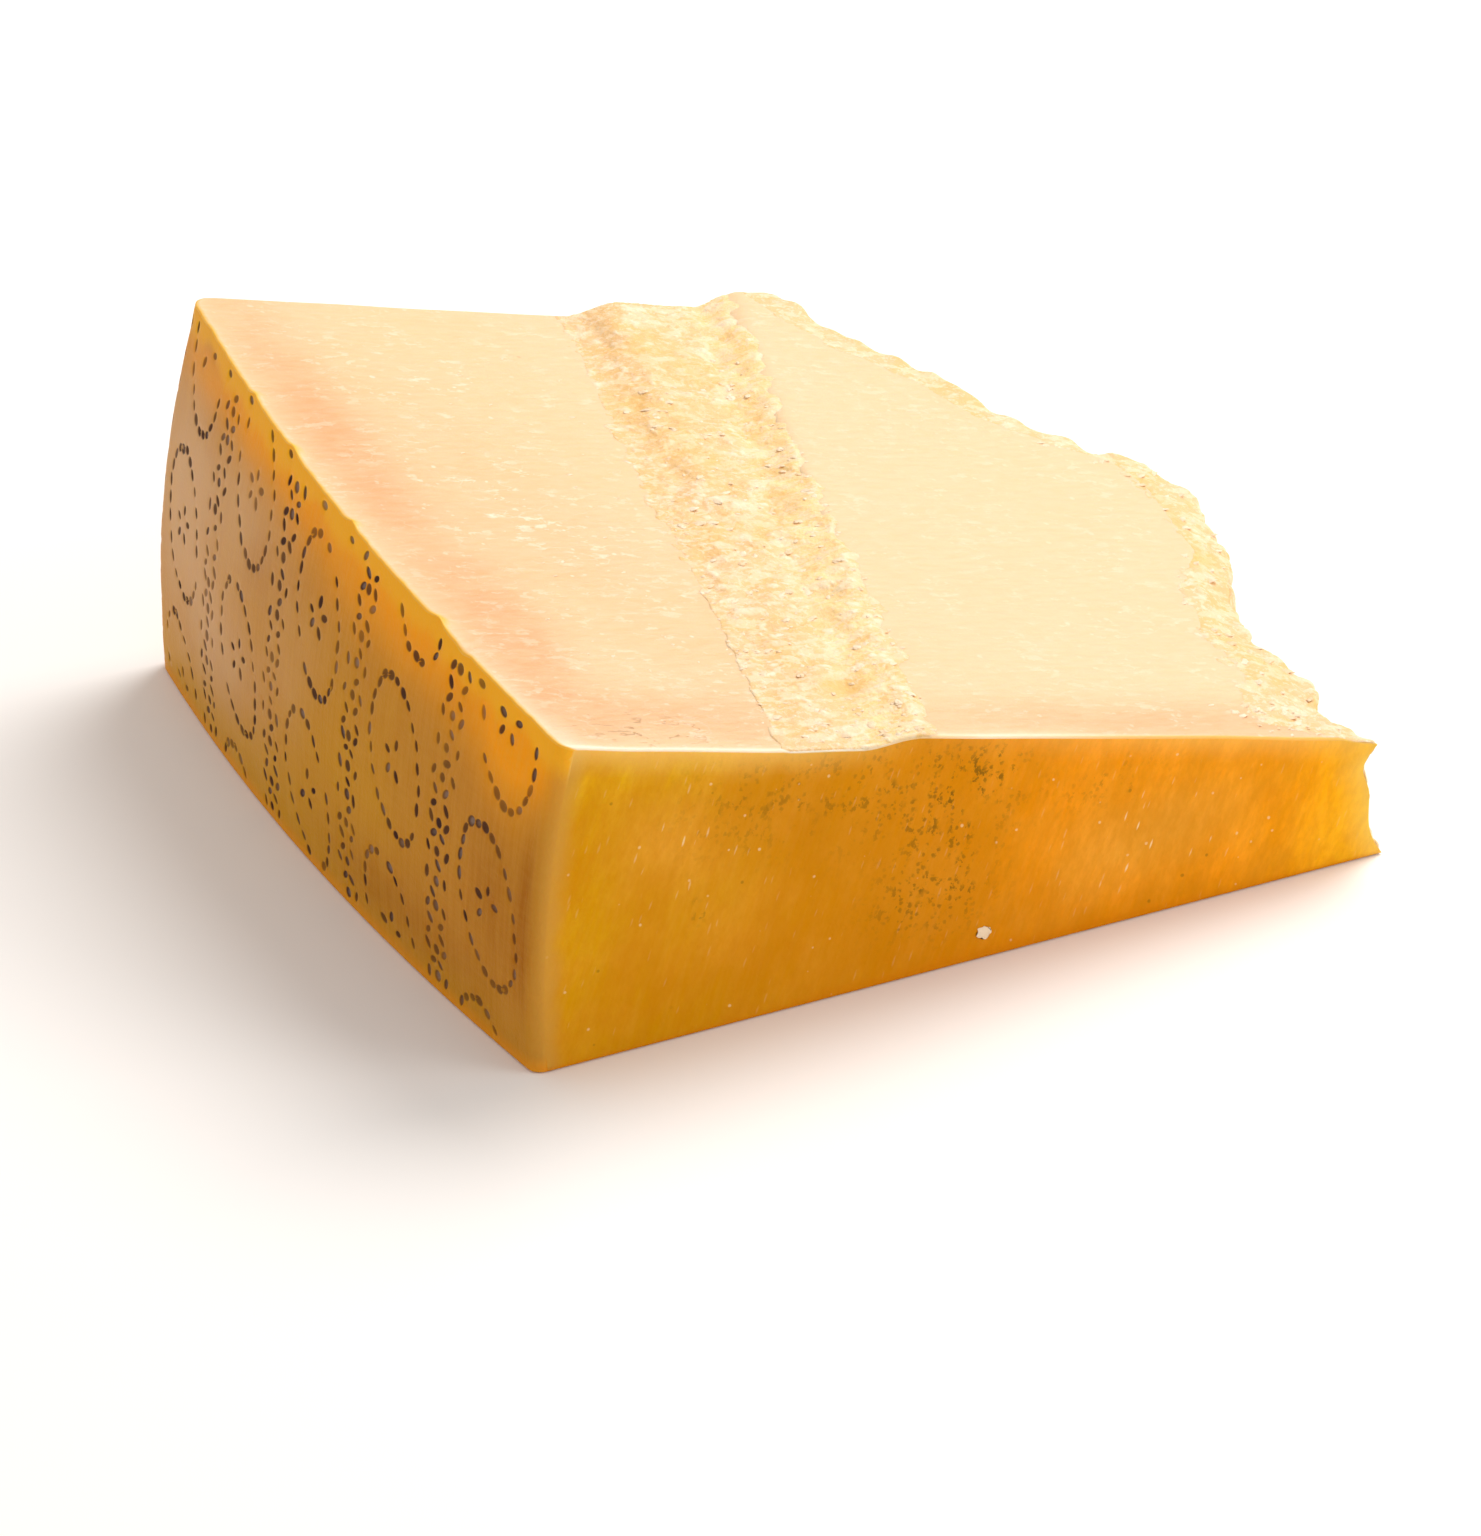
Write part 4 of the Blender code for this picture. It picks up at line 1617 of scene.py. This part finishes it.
class SharedEffects:
    """Node groups that both finishes use. A place, a size and other numbers go in, and one number comes out."""

    def build(self) -> None:
        """Build each group."""
        self.build_group("mottle", "Tone", self.mottle, Size=0.02, Softness=0.2)
        self.build_group("specks", "Specks", self.specks, Pitch=0.003, Size=0.3, Share=0.5)
        self.build_group("grain", "Height", self.grain, Size=0.0005, Coarse=0.3)
        self.build_group("threads", "Threads", self.threads, Size=0.004, Width=0.02)
        self.build_group("flakes", "Flakes", self.flakes, Size=0.002, Cut=0.56)

    def build_group(self, name: str, output: str, fill: Callable[..., Socket], **numbers: float) -> None:
        """Build one group.

        Args:
            name: Its name.
            output: Name of its output.
            fill: Adds its nodes and gives the value to put out.
            numbers: Its number inputs with their usual values.
        """
        tree = bpy.data.node_groups.new(name, "ShaderNodeTree")
        tree.interface.new_socket(name="Vector", in_out="INPUT", socket_type="NodeSocketVector")
        for number, usual in numbers.items():
            socket = tree.interface.new_socket(name=number, in_out="INPUT", socket_type="NodeSocketFloat")
            socket.default_value = usual
        tree.interface.new_socket(name=output, in_out="OUTPUT", socket_type="NodeSocketFloat")
        bench = Bench(tree)
        place, size, *others = tree.nodes.new("NodeGroupInput").outputs[:len(numbers) + 1]
        value = fill(bench, place, bench.maths("DIVIDE", 1.0, size), *others)
        bench.feed(tree.nodes.new("NodeGroupOutput").inputs[0], value)

    def mottle(self, bench: Bench, place: Socket, scale: Socket, softness: Socket) -> Socket:
        """Soft clouds of tone, from 0 to 1."""
        cloud = bench.noise(place, scale, 4.0, 0.55)
        return bench.fit(cloud, bench.maths("SUBTRACT", 0.5, softness), bench.maths("ADD", 0.5, softness))

    def specks(self, bench: Bench, place: Socket, scale: Socket, size: Socket, share: Socket) -> Socket:
        """Scattered specks of uneven outline."""
        bent = bench.noise(place, bench.maths("MULTIPLY", scale, 2.5))
        cells = bench.add("TexVoronoi", {"Vector": place, "Scale": scale})
        reach = bench.times(size, bench.times(bent, 2.0))
        spot = bench.fit(cells["Distance"], reach, bench.times(reach, 0.4))
        lottery = bench.add("SeparateColor", {0: cells["Color"]})[0]
        return bench.times(spot, bench.maths("LESS_THAN", lottery, share))

    def grain(self, bench: Bench, place: Socket, scale: Socket, coarse: Socket) -> Socket:
        """Fine grain for a bump, from 0 to 1."""
        wide = bench.noise(place, bench.maths("DIVIDE", scale, 5.0))
        return bench.maths("ADD", bench.noise(place, scale, 3.0), bench.times(wide, coarse))

    def threads(self, bench: Bench, place: Socket, scale: Socket, width: Socket) -> Socket:
        """Thin wandering lines, where a cloud of tone crosses its middle."""
        from_middle = bench.maths("SUBTRACT", bench.noise(place, scale, 2.0, 0.6), 0.5)
        return bench.fit(bench.maths("ABSOLUTE", from_middle, 0.0), width, 0.0)

    def flakes(self, bench: Bench, place: Socket, scale: Socket, cut: Socket) -> Socket:
        """Ragged flakes, where a cloud of tone passes a cut."""
        return bench.fit(bench.noise(place, scale, 4.0, 0.6), cut, bench.maths("ADD", cut, 0.07))


@dataclass(frozen=True)
class Finish:
    """How a material shines, scatters light and shows its grain."""

    name: str = "finish"
    specular: float = 0.35
    scatter_weight: float = 0.35
    scatter_scale: float = 0.0018
    scatter_radius: Colour = (1.0, 0.70, 0.40)
    bump_distance: float = 0.001
    bump_strength: float = 0.6

    def paint(self, bench: Bench, place: Socket) -> tuple[Value, Value, Value]:
        """Add the finish's own nodes.

        Args:
            bench: Bench of the material's tree.
            place: The place on the object.

        Returns:
            Colour, roughness and height of the grain.
        """
        raise NotImplementedError

    def material(self) -> bpy.types.Material:
        """Build the material."""
        made = bpy.data.materials.new(self.name)
        made.use_nodes = True
        bench = Bench(made.node_tree)
        colour, roughness, height = self.paint(bench, bench.place())
        bump = {"Height": height, "Distance": self.bump_distance, "Strength": self.bump_strength}
        bench.shade({
            "Base Color": colour,
            "Roughness": roughness,
            "Specular IOR Level": self.specular,
            "Subsurface Weight": self.scatter_weight,
            "Subsurface Scale": self.scatter_scale,
            "Subsurface Radius": self.scatter_radius,
            "Normal": bench.add("Bump", bump)[0],
        })
        return made


@dataclass(frozen=True)
class PasteFinish(Finish):
    """Cut and torn paste."""

    name: str = "cut_and_torn_paste"
    cream: Colour = (0.795, 0.496, 0.214)
    # Lighter cream: random tone, and a painted highlight over the right field.
    light: Colour = (0.805, 0.535, 0.290)
    # Peach, painted shade on the upper cut near the rind.
    peach_shade: Colour = (0.715, 0.360, 0.145)
    torn: Colour = (0.790, 0.500, 0.240)
    # Deeper orange, painted in hollows for light scattered in the paste, and laid at random in flakes.
    hollow: Colour = (0.790, 0.450, 0.110)
    # Lighter warm colour of the strip's rise: painted light over its shade.
    riser_painted_light: Colour = (0.990, 0.680, 0.325)
    crumb: Colour = (0.900, 0.740, 0.540)
    # Dark of the hair cracks: painted shade inside them.
    crack_shade: Colour = (0.400, 0.170, 0.040)
    rim: Colour = (0.900, 0.440, 0.020)
    smooth_roughness: float = 0.42
    torn_roughness: float = 0.50
    drag_turn: float = math.radians(-4.0)

    def paint(self, bench: Bench, place: Socket) -> tuple[Value, Value, Value]:
        """Cream fields with flecks and drag marks, and torn paste with flakes, hollows and white tips.

        Painted light and shade: a lighter right field, peach shade by the rind, deeper orange in the hollows, a
        lighter band on the strip's rise, dark cracks, and a highlight along the cut's edges.
        """
        smooth = bench.maths("SUBTRACT", 1.0, Mask.TORN, clamp=True)
        dragged, short, bowed = (
            bench.stretched(place, (along, 1.0, 1.0), "Z_AXIS", self.drag_turn) for along in (0.10, 0.42, 0.24)
        )
        tone = bench.effect("mottle", place, Size=0.045, Softness=0.30)
        streaks = bench.effect("mottle", dragged, Size=0.0014, Softness=0.2)
        flecked = bench.fit(Mask.FLECKED, 0.0, 1.0, 0.40, 1.0)
        clumps = bench.times(bench.fit(bench.noise(place, 1.0 / 0.0090, 3.0), 0.40, 0.60), flecked, smooth)
        gaps = bench.effect("mottle", place, Size=0.0030, Softness=0.03)
        cracks = bench.times(bench.effect("threads", bowed, Size=0.0028, Width=0.045), gaps, Mask.CRACKED)
        colour = bench.layers(
            self.cream,
            (self.light, bench.maths("MULTIPLY_ADD", tone, 0.4, 0.5, clamp=True)),
            # Painted highlight: the cut grows lighter towards the broken end.
            (self.light, bench.fit(bench.x_of(place), -0.050, 0.030), 0.8),
            (self.torn, Mask.TORN),
            (self.riser_painted_light, Mask.GLOW, Mask.TORN),
            (self.peach_shade, Mask.WARM),
            (self.crumb, streaks, smooth, 0.12),
            (self.crumb, bench.effect("specks", place, Pitch=0.0046, Size=0.16, Share=0.35), flecked, 0.9),
            (self.crumb, bench.effect("specks", place, Pitch=0.0026, Size=0.22, Share=0.5), clumps, 0.9),
            (self.crumb, bench.effect("flakes", short, Size=0.0020, Cut=0.55), clumps, 0.70),
            (self.light, bench.effect("flakes", short, Size=0.0110, Cut=0.50), smooth, 0.22),
            (self.crumb, bench.effect("threads", short, Size=0.0065, Width=0.016), clumps, 0.35),
            (self.hollow, bench.effect("flakes", short, Size=0.0060, Cut=0.50), Mask.TORN, 0.35),
            (self.crumb, bench.effect("flakes", short, Size=0.0026, Cut=0.50), Mask.TORN, 0.45),
            (self.crumb, bench.effect("flakes", place, Size=0.0012, Cut=0.54), Mask.TORN, 0.45),
            (self.crack_shade, cracks, 0.75),
            (self.hollow, Mask.HOLLOW, 0.72),
            (self.crumb, Mask.TIP, 0.75),
            # Painted highlight along the upper cut's edges.
            (self.crumb, Mask.PALE, 0.90),
            (self.rim, Mask.RIM),
        )
        grain = bench.effect("grain", place, Size=0.0006, Coarse=0.6)
        relief_height = bench.times(grain, bench.fit(Mask.TORN, 0.0, 1.0, 0.05, 0.30))
        relief_height = bench.maths("ADD", relief_height, bench.times(streaks, smooth, 0.08))
        relief_height = bench.maths("SUBTRACT", relief_height, bench.times(cracks, 0.25))
        roughness = bench.fit(Mask.TORN, 0.0, 1.0, self.smooth_roughness, self.torn_roughness)
        return colour, roughness, relief_height


@dataclass(frozen=True)
class RindFinish(Finish):
    """The rind, on the convex side and on the two flat faces."""

    name: str = "rind"
    gold: Colour = (0.640, 0.285, 0.0)
    amber: Colour = (0.740, 0.255, 0.0)
    orange: Colour = (0.930, 0.303, 0.0)
    bright: Colour = (1.000, 0.345, 0.0)
    flat_light: Colour = (0.840, 0.370, 0.036)
    flat_deep: Colour = (0.590, 0.210, 0.0)
    # Yellow of the flat faces' painted glow.
    yellow_glow: Colour = (1.000, 0.640, 0.008)
    ochre: Colour = (0.540, 0.210, 0.018)
    brown: Colour = (0.370, 0.110, 0.0)
    # Grey-tan of the side's back half: partly the rind's tone, partly painted sheen.
    grey_tan_sheen: Colour = (0.690, 0.395, 0.195)
    orange_gold: Colour = (1.000, 0.335, 0.0)
    golden: Colour = (0.630, 0.285, 0.006)
    # Pale yellow rim of the flat faces: painted glow through their thin edges.
    rim: Colour = (0.970, 0.600, 0.150)
    side_rim: Colour = (0.970, 0.450, 0.016)
    thread: Colour = (0.820, 0.440, 0.090)
    # Tan of the rounded edges: painted highlight.
    corner: Colour = (0.610, 0.300, 0.045)
    # Darker red-orange of the flat faces' foot: painted shadow.
    foot: Colour = (0.680, 0.215, 0.001)
    worn: Colour = (0.880, 0.580, 0.240)
    scratch: Colour = (0.950, 0.700, 0.380)
    mould: Colour = (0.190, 0.095, 0.004)
    ink: Colour = (0.060, 0.025, 0.020)
    # Grey of the painted highlight in a dot's middle.
    pit_highlight: Colour = (0.330, 0.230, 0.190)
    roughness: float = 0.42
    specular: float = 0.03
    scatter_weight: float = 0.20
    scatter_scale: float = 0.0025
    scatter_radius: Colour = (1.0, 0.40, 0.08)
    bump_distance: float = 0.00022
    bump_strength: float = 0.5
    stroke_turn: float = math.radians(-20.0)
    dusky_sizes: tuple[Pair, ...] = ((0.0075, 0.34), (0.0022, 0.20), (0.0008, 0.16))

    def patchy(self, bench: Bench, place: Socket, size: float, mask: Mask) -> Socket:
        """A mask with an uneven border.

        Args:
            bench: Bench of the material's tree.
            place: The place on the object.
            size: Size of the border's unevenness.
            mask: The mask.

        Returns:
            The mask's value.
        """
        wander = bench.maths("SUBTRACT", bench.noise(place, 1.0 / size, 3.0), 0.5)
        rim = bench.times(mask, bench.maths("SUBTRACT", 1.0, mask), wander, 3.0)
        return bench.maths("ADD", mask, rim, clamp=True)

    def flat_colour(self, bench: Bench, place: Socket) -> Value:
        """Colour of the two flat faces: gold by the rind side, amber, then orange towards the tip.

        The brightening towards the tip is painted light.

        Args:
            bench: Bench of the material's tree.
            place: The place on the object.

        Returns:
            The colour, with patches, strokes, scratches and spots of mould.
        """
        scales = ((1.0, 1.0, up) for up in (0.10, 0.45, 0.20, 0.75))
        upright, slanted, scratched, stained = (
            bench.stretched(place, scale, "Y_AXIS", self.stroke_turn) for scale in scales
        )
        wander = bench.maths("SUBTRACT", bench.noise(place, 1.0 / 0.024, 3.0), 0.5)
        moved = bench.maths("ADD", bench.fit(bench.x_of(place), -0.095, 0.085), bench.times(wander, 0.30))
        # The hues are the rind's, and their brightening towards the tip is painted light.
        stops = ((0.05, self.gold), (0.42, self.amber), (0.68, self.orange), (1.0, self.bright))
        patchy = {mask: self.patchy(bench, place, 0.024, mask) for mask in (Mask.DEEP, Mask.LIGHT, Mask.GLOW)}
        scratches = bench.effect("specks", scratched, Pitch=0.0012, Size=0.22, Share=0.45)
        fine = bench.effect("specks", place, Pitch=0.0012, Size=0.50, Share=0.6)
        coarse = bench.effect("flakes", stained, Size=0.0017, Cut=0.56)
        both = bench.maths("MAXIMUM", bench.times(fine, 0.75), coarse)
        dense = bench.fit(bench.noise(stained, 1.0 / 0.0040, 3.0), 0.38, 0.56)
        few = bench.effect("specks", place, Pitch=0.0060, Size=0.075, Share=0.6)
        spots = bench.maths("MAXIMUM", bench.times(both, Mask.SPECKLED, dense), bench.times(few, 0.6))
        dusky = (
            (self.flat_deep, bench.effect("mottle", slanted, Size=size, Softness=0.12), share)
            for size, share in self.dusky_sizes
        )
        return bench.layers(
            bench.ramp(moved, stops),
            (self.flat_deep, patchy[Mask.DEEP], 0.85),
            (self.flat_light, patchy[Mask.LIGHT], 0.85),
            (self.yellow_glow, patchy[Mask.GLOW], 0.85),
            (self.worn, bench.effect("mottle", upright, Size=0.0009, Softness=0.2), 0.03),
            (self.flat_light, bench.effect("mottle", place, Size=0.0120, Softness=0.10), 0.16),
            *dusky,
            (self.scratch, scratches, bench.fit(Mask.LIGHT, 0.1, 0.8, 0.10, 0.80)),
            (self.scratch, bench.effect("specks", place, Pitch=0.0036, Size=0.11, Share=0.5), 0.5),
            (self.mould, spots, 0.80),
        )

    def side_colour(self, bench: Bench, place: Socket) -> Value:
        """Colour of the convex side: ochre, with grey-tan, brown and golden patches and cloth lines up it.

        The grey-tan is partly painted sheen, and the orange-gold along the upper edge is partly painted light.

        Args:
            bench: Bench of the material's tree.
            place: The place on the object.

        Returns:
            The colour.
        """
        cloth = bench.stretched(place, (0.3, 1.0, 0.07), "Z_AXIS", 0.0)
        weft = bench.stretched(place, (0.3, 0.10, 1.0), "Z_AXIS", 0.0)
        return bench.layers(
            self.ochre,
            (self.golden, bench.effect("mottle", place, Size=0.040, Softness=0.2), 0.35),
            (self.golden, self.patchy(bench, place, 0.026, Mask.GOLDEN), 0.90),
            (self.grey_tan_sheen, self.patchy(bench, place, 0.026, Mask.LIGHT), 0.95),
            (self.brown, self.patchy(bench, place, 0.026, Mask.DEEP), 0.85),
            (self.orange_gold, self.patchy(bench, place, 0.026, Mask.GLOW), 0.98),
            (self.thread, bench.effect("mottle", cloth, Size=0.0010, Softness=0.2), 0.12),
            (self.thread, bench.effect("mottle", weft, Size=0.0009, Softness=0.2), 0.06),
        )

    def paint(self, bench: Bench, place: Socket) -> tuple[Value, Value, Value]:
        """The side's or the flat face's colour, with the rounded corner, foot, rim and pricked dots over it.

        Painted light in them: a highlight on the rounded corner and in the dots' middles, shadow in the flat
        faces' foot band, and glow in their rim.
        """
        foot_share = bench.fit(Mask.FLAT, 0.0, 1.0, 0.50, 0.80)
        rim_share = bench.fit(Mask.FLAT, 0.0, 1.0, 0.75, 0.60)
        colour = bench.layers(
            bench.mix(Mask.FLAT, self.side_colour(bench, place), self.flat_colour(bench, place)),
            # Painted highlight on the rounded edges.
            (self.corner, Mask.ROUNDING, 0.8),
            # Foot band: orange-gold on the side, painted shadow on the flat faces.
            (bench.mix(Mask.FLAT, self.orange_gold, self.foot), Mask.FOOT, foot_share),
            # Rim: the rind's own orange on the side, painted glow on the flat faces.
            (bench.mix(Mask.FLAT, self.side_rim, self.rim), Mask.RIM, rim_share),
            (self.ink, Mask.MARK),
            (self.pit_highlight, Mask.MARK_CORE, 0.7),
        )
        return colour, self.roughness, bench.effect("grain", place, Size=0.0007, Coarse=0.8)


@dataclass(frozen=True)
class Lamp:
    """A soft round lamp that shines at the wedge."""

    name: str
    place: Point
    power: float
    size: float = 0.9
    aim: Point = (0.0, 0.0, 0.03)

    def build(self) -> bpy.types.Object:
        """Hang the lamp."""
        light = bpy.data.lights.new(self.name, "AREA")
        light.shape = "DISK"
        light.size = self.size
        light.energy = self.power
        lamp = add_object(self.name, light)
        lamp.location = self.place
        lamp.rotation_euler = (Vector(self.aim) - Vector(self.place)).to_track_quat("-Z", "Y").to_euler()
        return lamp


@dataclass(frozen=True)
class Studio:
    """The camera, the white floor, and the light: an even white sky, a key lamp and a weaker one in front."""

    eye: Point = (-0.4221, -0.8188, 0.4833)
    yaw: float = math.radians(26.754)
    pitch: float = math.radians(27.931)
    roll: float = math.radians(-0.2192)
    lens: float = 118.27
    clip: Pair = (0.01, 50.0)
    floor_radius: float = 6.0
    floor_gap: float = 0.0002
    floor_colour: Colour = (0.95, 0.905, 0.86)
    floor_roughness: float = 0.9
    floor_specular: float = 0.1
    sky_strength: float = 0.64
    lamps: tuple[Lamp, ...] = (Lamp("key", (0.75, 0.35, 1.15), 16.0), Lamp("fill", (1.10, -1.05, 0.65), 6.5))

    def build_camera(self) -> bpy.types.Object:
        """The camera at the photograph's place, looking down at the wedge from its front left."""
        cos_yaw, sin_yaw, cos_pitch = math.cos(self.yaw), math.sin(self.yaw), math.cos(self.pitch)
        right = Vector((cos_yaw, -sin_yaw, 0.0))
        forward = Vector((sin_yaw * cos_pitch, cos_yaw * cos_pitch, -math.sin(self.pitch)))
        up = right.cross(forward)
        turned_right = right * math.cos(self.roll) + up * math.sin(self.roll)
        turned_up = up * math.cos(self.roll) - right * math.sin(self.roll)
        camera = add_object("camera", bpy.data.cameras.new("camera"))
        camera.data.lens = self.lens
        camera.data.clip_start, camera.data.clip_end = self.clip
        axes = Matrix((turned_right, turned_up, -forward)).transposed()
        camera.matrix_world = Matrix.Translation(self.eye) @ axes.to_4x4()
        bpy.context.scene.camera = camera
        return camera

    def build_floor(self) -> bpy.types.Object:
        """A wide white disc just under the wedge."""
        builder = bmesh.new()
        bmesh.ops.create_circle(builder, cap_ends=True, segments=96, radius=self.floor_radius)
        mesh = bpy.data.meshes.new("floor")
        builder.to_mesh(mesh)
        builder.free()
        floor = add_object("floor", mesh)
        floor.location.z = -self.floor_gap
        material = bpy.data.materials.new("white_floor")
        material.use_nodes = True
        looks = {"Roughness": self.floor_roughness, "Specular IOR Level": self.floor_specular}
        Bench(material.node_tree).shade({"Base Color": self.floor_colour} | looks)
        mesh.materials.append(material)
        return floor

    def build_light(self) -> None:
        """The sky and the lamps."""
        world = bpy.data.worlds.new("studio")
        world.use_nodes = True
        background = world.node_tree.nodes["Background"]
        background.inputs["Color"].default_value = (1.0, 1.0, 1.0, 1.0)
        background.inputs["Strength"].default_value = self.sky_strength
        bpy.context.scene.world = world
        for lamp in self.lamps:
            lamp.build()
        bpy.context.scene.view_settings.view_transform = "Standard"


def dress(piece: bpy.types.Object, materials: Sequence[bpy.types.Material]) -> None:
    """Give a piece its materials and its body, and hide the solid that it stands for.

    Args:
        piece: The piece.
        materials: Its materials, in the order that its faces number them.
    """
    for material in materials:
        piece.data.materials.append(material)
    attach(piece, BODY)
    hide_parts(NODE)
    LOG.info("piece %s rides on %s", piece.name, BODY)


def main() -> None:
    """Build the studio and the dressed wedge."""
    logging.basicConfig(level=logging.INFO, format="%(name)s: %(message)s")
    studio = Studio()
    studio.build_camera()
    studio.build_floor()
    studio.build_light()
    SharedEffects().build()
    paste = PasteFinish().material()
    loose = PasteFinish(name="loose_paste", scatter_weight=0.0).material()
    rind = RindFinish().material()
    dress(WedgeBody().build(), (paste, rind))
    dress(StripSkin().build(), (paste,))
    dress(EndSkin().build(), (paste,))
    dress(Crumbs().build(), (loose,))


if __name__ == "__main__":
    main()
